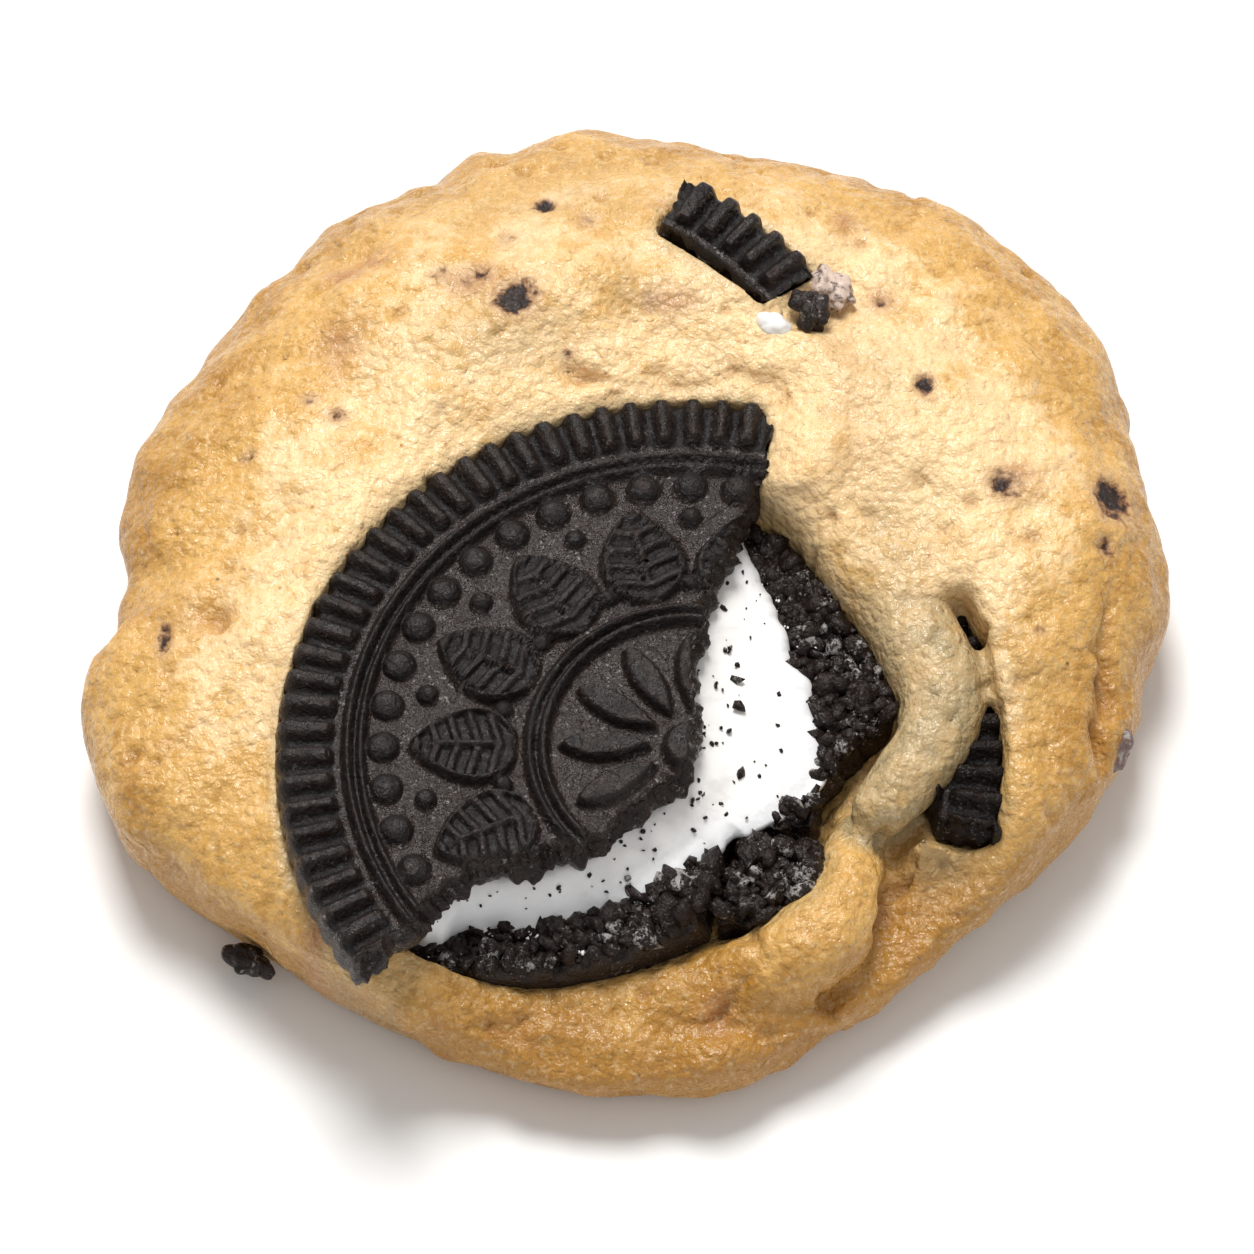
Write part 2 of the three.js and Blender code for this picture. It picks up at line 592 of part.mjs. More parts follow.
function dough(pockets) {
  let solid = doughBody();
  for (const fold of Object.values(FOLDS)) {
    solid = solid.add(roll(fold));
  }
  solid = solid.subtract(roll(CLEFT));
  for (const pocket of pockets) {
    solid = solid.subtract(pocket);
  }
  return largestBody(solid);
}

// ---- The whole cookie ----

const pieces = {
  top_wafer: topWafer(),
  base_chunk: baseChunk(),
  back_shard: edgePiece({ x: -7.1, y: 2.9, z: 11.0, tilt: 4, towards: 320 }, 38.5, 62, 0.835, 151),
  back_cream: lumpInPocket({ at: [12.1, 15.9, 12.6], size: [2.2, 2.8, 2.0], turn: 20, seed: 157 }),
  back_smear: lumpInPocket({ at: [7.9, 13.0, 12.9], size: [2.2, 1.4, 1.6], turn: -25, seed: 153 }),
  back_crumb: lumpInPocket({ at: [10.3, 13.7, 13.0], size: [1.9, 2.0, 1.8], turn: 0, seed: 159 }),
  right_shard: edgePiece({ x: -1.8, y: -12.0, z: 7.2, tilt: 4, towards: 0 }, -11.5, 24.5, 0.85, 163),
  left_chip: lumpInPocket({ at: [-20.3, -21.1, 1.6], size: [3.9, 2.0, 2.0], turn: -30, seed: 171 }),
  right_chip: lumpInPocket({ at: [26.2, -9.0, 5.0], size: [3.0, 3.8, 3.0], turn: 0, seed: 181 }),
};
pieces.base_wafer = baseWafer(pieces.base_chunk.pocket);
pieces.cream = { solid: cream() };

const LOOKS = {
  dough: { color: 0xe3bf85, roughness: 0.75, metalness: 0 },
  biscuit: { color: 0x2c2523, roughness: 0.6, metalness: 0 },
  cream: { color: 0xf2f0ea, roughness: 0.55, metalness: 0 },
};

function meshOf(name, solid, look) {
  const mesh = new THREE.Mesh(geometryOf(solid), new THREE.MeshStandardMaterial(look));
  mesh.name = name;
  return mesh;
}

const cookie = new THREE.Group();
cookie.name = "cookie";
cookie.position.y = -0.37; // the dome's own axis lies this far behind the middle of the whole cookie
const pockets = Object.values(pieces).filter((piece) => piece.pocket).map((piece) => piece.pocket);
cookie.add(meshOf("dough", dough(pockets), LOOKS.dough));
for (const [name, piece] of Object.entries(pieces)) {
  cookie.add(meshOf(name, piece.solid, /cream|smear/.test(name) ? LOOKS.cream : LOOKS.biscuit));
}

export default cookie;
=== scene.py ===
"""A soft-baked cookie with broken pieces of chocolate sandwich biscuit in it: surfaces, finishes and studio.

Lengths are millimetres and bearings are degrees until a mesh is written, and then metres. +Z is up, the
origin is the middle of the flat underside, and the biscuit pieces face the front, which is -Y.
"""

from __future__ import annotations

import logging
import math
from dataclasses import dataclass, field
from enum import Enum
from itertools import combinations, product

import bpy
import numpy as np
from mathutils import Matrix, Vector


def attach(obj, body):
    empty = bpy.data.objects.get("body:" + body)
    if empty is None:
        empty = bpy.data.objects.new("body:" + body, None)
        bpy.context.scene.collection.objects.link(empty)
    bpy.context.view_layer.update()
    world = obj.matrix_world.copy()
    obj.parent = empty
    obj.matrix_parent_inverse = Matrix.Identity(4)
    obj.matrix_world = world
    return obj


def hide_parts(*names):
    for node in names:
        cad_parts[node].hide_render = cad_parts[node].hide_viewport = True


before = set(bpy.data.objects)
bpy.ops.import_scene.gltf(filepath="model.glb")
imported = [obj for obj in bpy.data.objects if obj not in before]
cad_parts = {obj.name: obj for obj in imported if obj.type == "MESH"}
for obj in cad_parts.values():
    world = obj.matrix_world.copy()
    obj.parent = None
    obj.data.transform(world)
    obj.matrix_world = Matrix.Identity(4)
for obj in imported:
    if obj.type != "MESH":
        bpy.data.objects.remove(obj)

log = logging.getLogger("cookie")
MM = 0.001
AXIS_Y = -0.37  # mm from the middle of the whole cookie to the dome's own axis, where lengths start
TINY = 1e-12  # keeps a division by a length off zero

# Millimetres off the origin at which each kind of surface samples its noise, so that their patterns differ.
FLAT_SHIFT, CREASE_SHIFT, BAKE_SHIFT, LUMP_SHIFT, CRUST_SHIFT = 40.0, 50.0, 60.0, 70.0, 90.0

Array = np.ndarray
Socket = bpy.types.NodeSocket
Point2 = tuple[float, float]
Point3 = tuple[float, float, float]
Colour = tuple[float, float, float]


class Slot(Enum):
    """Kinds of material."""

    DOUGH = "dough"
    BISCUIT = "biscuit"
    CREAM = "cream"


# ---- Numbers over whole arrays ----


def lattice(corner: Array, seed: int) -> Array:
    """Mixes the whole coordinates of lattice corners into one number each.

    Args:
        corner: Whole-number coordinates, the last axis of three.
        seed: Picks another set of numbers.

    Returns:
        Numbers in 0..1, the same on every run.
    """
    c = corner.astype(np.int64).astype(np.uint64)
    mixed = c[..., 0] * np.uint64(374761393) + c[..., 1] * np.uint64(668265263)
    mixed = mixed + c[..., 2] * np.uint64(2246822519) + np.uint64(seed * 974634777 + 12345)
    for shift in (13, 17, 15):
        mixed = (mixed ^ (mixed >> np.uint64(shift))) * np.uint64(1274126177)
        mixed = mixed & np.uint64(0xFFFFFFFF)
    return mixed / 4294967295.0


def noise(points: Array, size: float, seed: int = 0) -> Array:
    """Smooth noise: numbers at the corners of a lattice, blended inside each cell by 6f^5 - 15f^4 + 10f^3.

    Args:
        points: Places in mm, (..., 3).
        size: Cell size in mm.
        seed: Picks another pattern.

    Returns:
        Values in -1..1.
    """
    place = points / size
    base = np.floor(place)
    f = place - base
    blend = f * f * f * (f * (f * 6 - 15) + 10)
    total = np.zeros(points.shape[:-1])
    for corner in product((0, 1), repeat=3):
        share = np.prod(np.where(np.array(corner) == 1, blend, 1 - blend), axis=-1)
        total += share * lattice(base + np.array(corner), seed)
    return 2 * total - 1


def layered(points: Array, size: float, layers: int, seed: int = 0, gain: float = 0.5) -> Array:
    """Noise summed over halving cell sizes, each layer weaker than the last.

    Args:
        points: Places in mm, (..., 3).
        size: Largest cell size in mm.
        layers: Number of layers.
        seed: Picks another pattern.
        gain: Strength of a layer against the one before.

    Returns:
        Values within about -1..1.
    """
    total, weight, sum_of_weights = 0.0, 1.0, 0.0
    for layer in range(layers):
        total = total + weight * noise(points, size / 2**layer, seed + 31 * layer)
        sum_of_weights += weight
        weight *= gain
    return total / sum_of_weights


def grains(points: Array, size: float, seed: int = 0) -> Array:
    """Rounded grains: 1 less the distance to the nearest of one jittered seed per cell, and 0 between them.

    Args:
        points: Places in mm, (..., 3).
        size: Cell size in mm, about one grain.
        seed: Picks another pattern.

    Returns:
        Values in 0..1.
    """
    place = points / size
    base = np.floor(place)
    nearest = np.full(points.shape[:-1], 9.0)
    for offset in product((-1, 0, 1), repeat=3):
        corner = base + np.array(offset)
        jitter = np.stack([lattice(corner, seed + k) for k in (1, 2, 3)], axis=-1)
        nearest = np.minimum(nearest, np.linalg.norm(place - corner - jitter, axis=-1))
    return np.clip(1 - nearest, 0, 1)


def smooth(low: float, high: float, value: Array) -> Array:
    """Goes from 0 at low to 1 at high along 3s^2 - 2s^3."""
    s = np.clip((value - low) / (high - low), 0, 1)
    return s * s * (3 - 2 * s)


def bell(distance: Array) -> Array:
    """The bell curve exp(-d^2)."""
    return np.exp(-distance * distance)


def turn_between(a: float, b: Array) -> Array:
    """Degrees from bearing a to bearing b, in -180..180."""
    return (b - a + 540) % 360 - 180


def to_path(xy: Array, path: Array) -> Array:
    """Distance from points to a broken line: the least distance to any of its stretches.

    Args:
        xy: Points, (..., k).
        path: Corners of the line, (n, k).

    Returns:
        Distances in mm.
    """
    nearest = np.full(xy.shape[:-1], 1e9)
    for a, b in zip(path[:-1], path[1:]):
        step = b - a
        along = np.clip(((xy - a) @ step) / max(step @ step, TINY), 0, 1)
        nearest = np.minimum(nearest, np.linalg.norm(xy - a - along[..., None] * step, axis=-1))
    return nearest


def beyond(xy: Array, outline: Array) -> Array:
    """Signed distance to a closed outline, below 0 inside it, where a ray crosses it an odd number of times.

    Args:
        xy: Points, (..., 2).
        outline: Corners, (n, 2).

    Returns:
        Distances in mm.
    """
    inside = np.zeros(xy.shape[:-1], bool)
    for a, b in zip(outline, np.roll(outline, -1, axis=0)):
        straddles = (a[1] > xy[..., 1]) != (b[1] > xy[..., 1])
        slope = (b[0] - a[0]) / (b[1] - a[1] if b[1] != a[1] else TINY)
        inside ^= straddles & (xy[..., 0] < a[0] + (xy[..., 1] - a[1]) * slope)
    far = to_path(xy, np.vstack([outline, outline[:1]]))
    return np.where(inside, -far, far)


def arc(radius: float, start: float, end: float, step: float = 4.0) -> Array:
    """Points round the origin at a radius, from one bearing to another, about step degrees apart."""
    bearings = np.radians(np.linspace(start, end, max(2, round(abs(end - start) / step)) + 1))
    return radius * np.stack([np.cos(bearings), np.sin(bearings)], axis=1)


def resampled(path: Array, count: int, closed: bool) -> Array:
    """Points spaced evenly along a broken line, by interpolating each coordinate over the length travelled.

    Args:
        path: Corners, (n, k).
        count: Number of points.
        closed: True where the last corner leads back to the first.

    Returns:
        The points, (count, k).
    """
    line = np.vstack([path, path[:1]]) if closed else path
    travelled = np.concatenate([[0], np.cumsum(np.linalg.norm(np.diff(line, axis=0), axis=1))])
    places = np.linspace(0, travelled[-1], count, endpoint=not closed)
    return np.stack([np.interp(places, travelled, line[:, k]) for k in range(line.shape[1])], axis=1)


def anticlockwise(loop: Array) -> Array:
    """The closed line's corners in counter-clockwise order: turned round where its signed area is below 0."""
    ahead = np.roll(loop, -1, axis=0)
    area = np.sum(loop[:, 0] * ahead[:, 1] - loop[:, 1] * ahead[:, 0])
    return loop if area > 0 else loop[::-1]


def outward(line: Array) -> Array:
    """Unit directions out of a closed counter-clockwise line: its run past each point, turned right."""
    along = np.roll(line, -1, axis=0) - np.roll(line, 1, axis=0)
    out = np.stack([along[:, 1], -along[:, 0]], axis=1)
    return out / np.maximum(np.linalg.norm(out, axis=1, keepdims=True), TINY)


def rounded(line: Array, rounds: int) -> Array:
    """A closed line with each point moved to (before + 2 here + after) / 4, a number of times."""
    for _ in range(rounds):
        line = (np.roll(line, 1, axis=0) + 2 * line + np.roll(line, -1, axis=0)) / 4
    return line


def eased(line: Array, rounds: int) -> Array:
    """An open line with each inner point moved to (before + 2 here + after) / 4, a number of times."""
    line = line.copy()
    for _ in range(rounds):
        line[1:-1] = (line[:-2] + 2 * line[1:-1] + line[2:]) / 4
    return line


def on_plane(xy: Array) -> Array:
    """Places in plan as places in space, for noise."""
    return np.dstack([xy, np.zeros(xy.shape[:2])]) + FLAT_SHIFT


def placed(points: Array, middle: Point3, tilt: float, towards: float) -> Array:
    """Tilts points down towards a bearing about the origin, then moves them to their middle."""
    side = math.radians(towards)
    turn = Matrix.Rotation(math.radians(tilt), 3, Vector((-math.sin(side), math.cos(side), 0)))
    return points @ np.array(turn).T + np.array(middle)


# ---- Meshes ----


@dataclass
class Surface:
    """A mesh being made: points in mm, its faces as arrays of corners, and named values at the points."""

    points: Array
    faces: list[Array]
    values: dict[str, Array] = field(default_factory=dict)

    @classmethod
    def of_rings(cls, first: Array, rings: Array, last: Array) -> Surface:
        """A closed surface from rings of points that close on themselves, with one point at either end.

        Args:
            first: The point inside the first ring, which faces down.
            rings: Points, (rings, columns, 3), counter-clockwise seen from the last ring's side.
            last: The point inside the last ring.

        Returns:
            The surface, its faces outward.
        """
        rows, columns = rings.shape[:2]
        here = 1 + np.arange(rows * columns).reshape(rows, columns)
        after = np.roll(here, -1, axis=1)
        quads = np.stack([here[:-1], after[:-1], after[1:], here[1:]], axis=-1).reshape(-1, 4)
        end = rows * columns + 1
        low = np.stack([np.zeros(columns, int), after[0], here[0]], axis=-1)
        high = np.stack([np.full(columns, end), here[-1], after[-1]], axis=-1)
        points = np.vstack([first, rings.reshape(-1, 3), last])
        return cls(points, [quads, np.vstack([low, high])])

    @classmethod
    def joined(cls, surfaces: list[Surface]) -> Surface:
        """One surface out of several, each still closed by itself."""
        starts = np.cumsum([0] + [len(s.points) for s in surfaces[:-1]])
        faces = [f + start for s, start in zip(surfaces, starts) for f in s.faces]
        return cls(np.vstack([s.points for s in surfaces]), faces)

    @classmethod
    def of_object(cls, piece: bpy.types.Object) -> Surface:
        """Reads an object's mesh back, its faces sorted by number of corners, and removes the object."""
        mesh = piece.data
        points = np.zeros(len(mesh.vertices) * 3)
        mesh.vertices.foreach_get("co", points)
        totals = np.zeros(len(mesh.polygons), int)
        mesh.polygons.foreach_get("loop_total", totals)
        corners = np.zeros(len(mesh.loops), int)
        mesh.loops.foreach_get("vertex_index", corners)
        starts = np.concatenate([[0], np.cumsum(totals)[:-1]])
        faces = [corners[starts[totals == n][:, None] + np.arange(n)] for n in np.unique(totals)]
        bpy.data.objects.remove(piece)
        return cls(points.reshape(-1, 3) / MM - (0, AXIS_Y, 0), faces)

    def object(self, name: str) -> bpy.types.Object:
        """Writes the surface to a new object, smooth-shaded, with its values as attributes.

        Args:
            name: Name of the object.

        Returns:
            The object, at the origin, its place in its mesh.
        """
        mesh = bpy.data.meshes.new(name)
        totals = np.concatenate([np.full(len(f), f.shape[1]) for f in self.faces])
        corners = np.concatenate([f.ravel() for f in self.faces])
        mesh.vertices.add(len(self.points))
        mesh.vertices.foreach_set("co", ((self.points + (0, AXIS_Y, 0)) * MM).astype(np.float32).ravel())
        mesh.loops.add(len(corners))
        mesh.loops.foreach_set("vertex_index", corners.astype(np.int32))
        mesh.polygons.add(len(totals))
        starts = np.concatenate([[0], np.cumsum(totals)[:-1]])
        mesh.polygons.foreach_set("loop_start", starts.astype(np.int32))
        mesh.update(calc_edges=True)
        mesh.polygons.foreach_set("use_smooth", np.ones(len(totals), bool))
        for key, value in self.values.items():
            attribute = mesh.attributes.new(key, "FLOAT", "POINT")
            attribute.data.foreach_set("value", value.astype(np.float32))
        mesh.validate()
        piece = bpy.data.objects.new(name, mesh)
        bpy.context.scene.collection.objects.link(piece)
        return piece

    def fused(self, voxel: float) -> Surface:
        """The outer skin of overlapping closed surfaces, remeshed in even steps of voxel mm."""
        piece = self.object("fusing")
        remesh = piece.modifiers.new("skin", "REMESH")
        remesh.mode = "VOXEL"
        remesh.voxel_size = voxel * MM
        evaluated = piece.evaluated_get(bpy.context.evaluated_depsgraph_get())
        piece_after = bpy.data.objects.new("fused", bpy.data.meshes.new_from_object(evaluated))
        bpy.data.objects.remove(piece)
        return Surface.of_object(piece_after)

    def edges(self) -> Array:
        """The two ends of each side of each face, (n, 2)."""
        return np.vstack([np.stack([f, np.roll(f, -1, axis=1)], axis=-1).reshape(-1, 2) for f in self.faces])

    def relaxed(self, rounds: int, share: Array | float) -> None:
        """Moves each point a share of the way to the mean of its neighbours, a number of times."""
        edges = self.edges()
        count = np.maximum(np.bincount(edges[:, 0], minlength=len(self.points)), 1)
        share = np.broadcast_to(np.asarray(share, float), (len(self.points),))[:, None]
        for _ in range(rounds):
            ends = self.points[edges[:, 1]]
            around = [np.bincount(edges[:, 0], ends[:, k], minlength=len(self.points)) for k in range(3)]
            self.points += share * (np.stack(around, axis=1) / count[:, None] - self.points)

    def normals(self) -> Array:
        """Unit normals at the points: the cross products of the diagonals of the faces round each, summed."""
        total = np.zeros_like(self.points)
        for f in self.faces:
            p = self.points[f]
            across = np.cross(p[:, 2] - p[:, 0], p[:, -1] - p[:, 1])
            for corner in range(f.shape[1]):
                for k in range(3):
                    total[:, k] += np.bincount(f[:, corner], across[:, k], minlength=len(total))
        return total / np.maximum(np.linalg.norm(total, axis=1, keepdims=True), TINY)


def finished(
    surface: Surface, name: str, slot: Slot, material: bpy.types.Material, *nodes: str
) -> bpy.types.Object:
    """Writes a piece, dresses it and ties it to the frame.

    Args:
        surface: The piece's surface.
        name: Name of the piece.
        slot: Not used.
        material: Its finish.
        *nodes: The solids that it stands for.

    Returns:
        The piece.
    """
    piece = surface.object(name)
    piece.data.materials.append(material)
    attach(piece, "root")
    if nodes:
        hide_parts(*nodes)
    low, high = surface.points.min(axis=0), surface.points.max(axis=0)
    size = " x ".join(f"{side:.1f}" for side in high - low)
    triangles = sum(len(f) * (f.shape[1] - 2) for f in surface.faces)
    log.info("%s: %s mm, %d triangles", name, size, triangles)
    return piece


# ---- Finishes ----


class Nodes:
    """Short ways to build a material's node tree."""

    def __init__(self, name: str) -> None:
        """Makes a material with only its output and shader."""
        self.material = bpy.data.materials.new(name)
        self.material.use_nodes = True
        self.tree = self.material.node_tree
        self.shader = self.tree.nodes["Principled BSDF"]
        self.place = self.tree.nodes.new("ShaderNodeTexCoord").outputs["Object"]

    def link(self, value: object, socket: Socket) -> None:
        """Links a socket, or sets a number or colour."""
        if isinstance(value, Socket):
            self.tree.links.new(value, socket)
        elif isinstance(value, tuple):
            socket.default_value = (*value, 1.0) if len(value) == 3 else value
        else:
            socket.default_value = value

    def attribute(self, name: str) -> Socket:
        """The value of a named attribute."""
        node = self.tree.nodes.new("ShaderNodeAttribute")
        node.attribute_name = name
        return node.outputs["Fac"]

    def grain(self, size: float, detail: float = 3.0, rough: float = 0.55, twist: float = 0.0) -> Socket:
        """Noise of a feature size in mm over Object coordinates, in 0..1."""
        node = self.tree.nodes.new("ShaderNodeTexNoise")
        self.tree.links.new(self.place, node.inputs["Vector"])
        node.inputs["Scale"].default_value = 1 / (size * MM)
        node.inputs["Detail"].default_value = detail
        node.inputs["Roughness"].default_value = rough
        node.inputs["Distortion"].default_value = twist
        return node.outputs["Fac"]

    def cells(self, size: float) -> Socket:
        """Distance to the nearest cell seed, in cells of a size in mm."""
        node = self.tree.nodes.new("ShaderNodeTexVoronoi")
        self.tree.links.new(self.place, node.inputs["Vector"])
        node.inputs["Scale"].default_value = 1 / (size * MM)
        return node.outputs["Distance"]

    def between(self, value: object, low: float, high: float, start: float = 0, end: float = 1) -> Socket:
        """Maps a value smoothly from low..high to start..end."""
        node = self.tree.nodes.new("ShaderNodeMapRange")
        node.interpolation_type = "SMOOTHSTEP"
        keys = ("Value", "From Min", "From Max", "To Min", "To Max")
        for key, item in zip(keys, (value, low, high, start, end)):
            self.link(item, node.inputs[key])
        return node.outputs["Result"]

    def coated(self, colour: object, *coats: tuple[object, Colour]) -> Socket:
        """Lays coats over a colour one after the other, each by how much of it covers what is below.

        Args:
            colour: The colour below, or a socket of it.
            *coats: Shares and colours.

        Returns:
            The socket of the mixed colour.
        """
        for share, coat in coats:
            node = self.tree.nodes.new("ShaderNodeMix")
            node.data_type = "RGBA"
            for value, socket in zip((share, colour, coat), (node.inputs[k] for k in (0, 6, 7))):
                self.link(value, socket)
            colour = node.outputs[2]
        return colour

    def feed(self, key: str, value: object) -> None:
        """Links a socket to an input of the shader, or sets it."""
        self.link(value, self.shader.inputs[key])

    def math(self, operation: str, a: object, b: object) -> Socket:
        """Does arithmetic on two values."""
        node = self.tree.nodes.new("ShaderNodeMath")
        node.operation = operation
        self.link(a, node.inputs[0])
        self.link(b, node.inputs[1])
        return node.outputs[0]

    def times(self, a: object, b: object) -> Socket:
        """The product of two values."""
        return self.math("MULTIPLY", a, b)

    def plus(self, a: object, b: object) -> Socket:
        """The sum of two values."""
        return self.math("ADD", a, b)

    def scattering(self, weight: float, radius: Colour, scale: float) -> None:
        """Lets light into the piece: a share, how far each colour goes, and a scale in mm."""
        self.shader.inputs["Subsurface Weight"].default_value = weight
        self.shader.inputs["Subsurface Radius"].default_value = radius
        self.shader.inputs["Subsurface Scale"].default_value = scale * MM

    def bump(self, height: object, distance: float, below: object = None) -> Socket:
        """A bump from a height in 0..1 that stands for a distance in mm, on top of another."""
        node = self.tree.nodes.new("ShaderNodeBump")
        node.inputs["Distance"].default_value = distance * MM
        self.link(height, node.inputs["Height"])
        if below is not None:
            self.link(below, node.inputs["Normal"])
        return node.outputs["Normal"]


@dataclass(frozen=True)
class DoughFinish:
    """Baked dough: pale on top, golden to brown where it baked longest and on low sides darkened as painted
    shade, greasy grey by the biscuit.
    """

    pale: Colour = (0.91, 0.645, 0.345)
    golden: Colour = (0.69, 0.40, 0.115)
    brown: Colour = (0.45, 0.218, 0.036)
    # Pits, also used as painted shade in pores and creases.
    pit: Colour = (0.40, 0.18, 0.045)
    # Greasy grey by the biscuit, also painted shade along the right fold.
    grease_and_shade: Colour = (0.39, 0.295, 0.155)
    toffee: Colour = (0.44, 0.20, 0.075)
    halo: Colour = (0.50, 0.31, 0.17)
    stain: Colour = (0.17, 0.065, 0.028)
    cocoa: Colour = (0.020, 0.009, 0.006)
    # Painted sparkles and painted glints on the fine grain.
    painted_sparkle_tint: Colour = (1.0, 0.92, 0.76)
    glint: Colour = (1.0, 0.84, 0.52)
    roughness: float = 0.32
    specular: float = 0.46

    def material(self) -> bpy.types.Material:
        """Mixes the colours by the bake_and_shade, grease_and_shade, toffee, cocoa and hollow attributes,
        broken up by noise; hollow is painted shade.
        """
        n = Nodes("dough_baked")
        fine = n.grain(0.42, 4, 0.65)
        bake_and_shade = n.plus(n.attribute("bake_and_shade"), n.between(n.grain(3.2, 4, 0.6, 0.4), 0.3, 0.72, -0.20, 0.22))
        bake_and_shade = n.plus(bake_and_shade, n.between(n.grain(0.8, 3, 0.6, 0.5), 0.35, 0.7, -0.08, 0.14))
        smear = n.between(n.grain(1.1, 4, 0.65), 0.38, 0.62, 0.75, 1.0)
        toffee = n.times(n.attribute("toffee"), n.between(n.grain(1.3, 4, 0.6), 0.24, 0.50))
        pits = n.between(n.grain(1.0, 3, 0.65, 0.5), 0.64, 0.74, 0.0, 0.42)
        specks = n.between(n.cells(1.5), 0.04, 0.13, 1.0, 0.0)
        dots = n.between(n.cells(2.6), 0.0, 0.075, 1.0, 0.0)
        stain = n.attribute("cocoa")
        ragged = n.between(n.grain(0.9, 4, 0.6, 0.3), 0.2, 0.8, -0.32, 0.32)
        cocoa = n.plus(stain, n.times(ragged, n.between(stain, 0.0, 0.25)))
        colour = n.coated(
            self.pale,
            # How long it baked, and painted shade on the low sides, the edge and slopes facing down.
            (n.between(bake_and_shade, 0.0, 0.55), self.golden),
            (n.between(bake_and_shade, 0.55, 1.15), self.brown),
            # Painted shade in the pores, creases and low crumb.
            (n.times(n.attribute("hollow"), 0.75), self.pit),
            # Grease from the biscuit, painted shade along the right fold, and toffee.
            (n.times(n.attribute("grease_and_shade"), smear), self.grease_and_shade),
            (n.times(toffee, 0.92), self.toffee),
            # Fine grain with painted glints, pits, painted sparkles and small specks.
            (n.between(fine, 0.5, 0.72, 0.0, 0.24), self.glint),
            (n.between(fine, 0.5, 0.3, 0.0, 0.18), self.brown),
            (pits, self.pit),
            (n.between(n.grain(0.26, 2, 0.5), 0.60, 0.74, 0.0, 0.14), self.painted_sparkle_tint),
            (n.times(specks, n.between(n.grain(2.4, 2), 0.46, 0.58, 0.0, 0.7)), self.pit),
            (n.times(dots, n.between(n.grain(6.0, 1), 0.47, 0.58, 0.0, 0.85)), self.cocoa),
            # Cocoa stains with ragged edges, each in a brown halo.
            (n.between(stain, 0.02, 0.55, 0.0, 0.6), self.halo),
            (n.between(cocoa, 0.36, 0.68, 0.0, 0.85), self.stain),
            (n.between(cocoa, 0.56, 0.78), self.cocoa),
        )
        n.feed("Base Color", colour)
        # Gloss, relief and softness.
        glossy, dull = self.roughness - 0.14, self.roughness + 0.18
        shine = n.between(n.grain(0.3, 3, 0.6, 0.3), 0.35, 0.65, dull, glossy)
        n.feed("Roughness", n.plus(shine, n.between(cocoa, 0.2, 0.6, 0.0, 0.3)))
        crumb = n.between(n.cells(0.62), 0.0, 0.85, 1.0, 0.0)
        crumb = n.bump(crumb, 0.10, n.bump(n.grain(1.5, 2), 0.20))
        grit = n.bump(n.grain(0.40, 1, 0.5), 0.13, crumb)
        n.feed("Normal", n.bump(n.grain(0.16, 1, 0.5), 0.065, grit))
        n.feed("Specular IOR Level", self.specular)
        n.scattering(0.22, (1.0, 0.55, 0.25), 0.6)
        return n.material


@dataclass(frozen=True)
class BiscuitFinish:
    """Dark chocolate biscuit with a faint sheen, browner and crumbly where it broke, dusted with cream, with
    painted shade in its grooves and painted sheen and sparks on its ground.
    """

    dark: Colour = (0.0085, 0.0054, 0.0046)
    # Worn places, also painted sheen on the ground of the pressed face.
    worn_and_sheen: Colour = (0.025, 0.0145, 0.011)
    # Painted shade in the grooves and on the walls of the relief.
    groove: Colour = (0.004, 0.003, 0.003)
    crumb: Colour = (0.016, 0.009, 0.007)
    # Painted sparks on the ground of the pressed face.
    painted_spark_grey: Colour = (0.30, 0.28, 0.27)
    dust: Colour = (0.50, 0.47, 0.45)
    roughness: float = 0.20
    specular: float = 0.31

    def material(self, name: str, wet: float = 0.0) -> bpy.types.Material:
        """Mixes the colours by the proud, deep, broken and dust attributes; deep is painted shade, and the
        ground below the proud parts takes painted sheen and sparks.

        Args:
            name: Name of the material.
            wet: How glossy the piece is, 0 to 1.

        Returns:
            The material.
        """
        n = Nodes(name)
        ground = n.math("SUBTRACT", 1.0, n.attribute("proud"))
        painted_sparks = n.between(n.grain(0.24, 2, 0.6, 0.6), 0.60, 0.70)
        painted_sparks = n.times(n.times(ground, painted_sparks), n.between(n.grain(1.8, 2), 0.42, 0.6))
        broken = n.times(n.attribute("broken"), n.between(n.grain(0.7, 3, 0.6), 0.45, 0.7))
        dust = n.attribute("dust")
        clusters = n.between(n.grain(2.0, 3, 0.6), 0.42, 0.66, -0.30, 0.30)
        flecks = n.plus(dust, n.between(n.grain(0.42, 4, 0.75), 0.25, 0.75, -0.75, 0.45))
        flecks = n.plus(flecks, n.times(clusters, n.between(dust, 0.0, 0.2)))
        colour = n.coated(
            self.dark,
            # The pressed face: worn places, its ground lighter as wear and painted sheen, painted sparks on
            # that ground, and painted shade in the grooves.
            (n.between(n.grain(0.5, 4, 0.62), 0.42, 0.62), self.worn_and_sheen),
            (n.times(ground, 0.7), self.worn_and_sheen),
            (n.times(painted_sparks, 0.75), self.painted_spark_grey),
            (n.times(n.attribute("deep"), 0.8), self.groove),
            # Crumb where it broke, and flecks of cream in clusters.
            (broken, self.crumb),
            (n.between(flecks, 0.30, 0.70, 0.0, 0.7), self.dust),
        )
        n.feed("Base Color", colour)
        # Gloss and relief.
        glossy, dull = self.roughness - 0.08 - 0.12 * wet, self.roughness + 0.20 - 0.15 * wet
        shine = n.between(n.grain(0.7, 3, 0.6), 0.35, 0.65, glossy, dull)
        rubbed = n.plus(n.times(n.attribute("proud"), 0.14), n.times(n.attribute("deep"), 0.3))
        n.feed("Roughness", n.plus(shine, rubbed))
        n.feed("Normal", n.bump(n.grain(0.28, 3, 0.7), 0.13, n.bump(n.grain(0.9, 3, 0.6), 0.28)))
        n.feed("Specular IOR Level", self.specular)
        return n.material


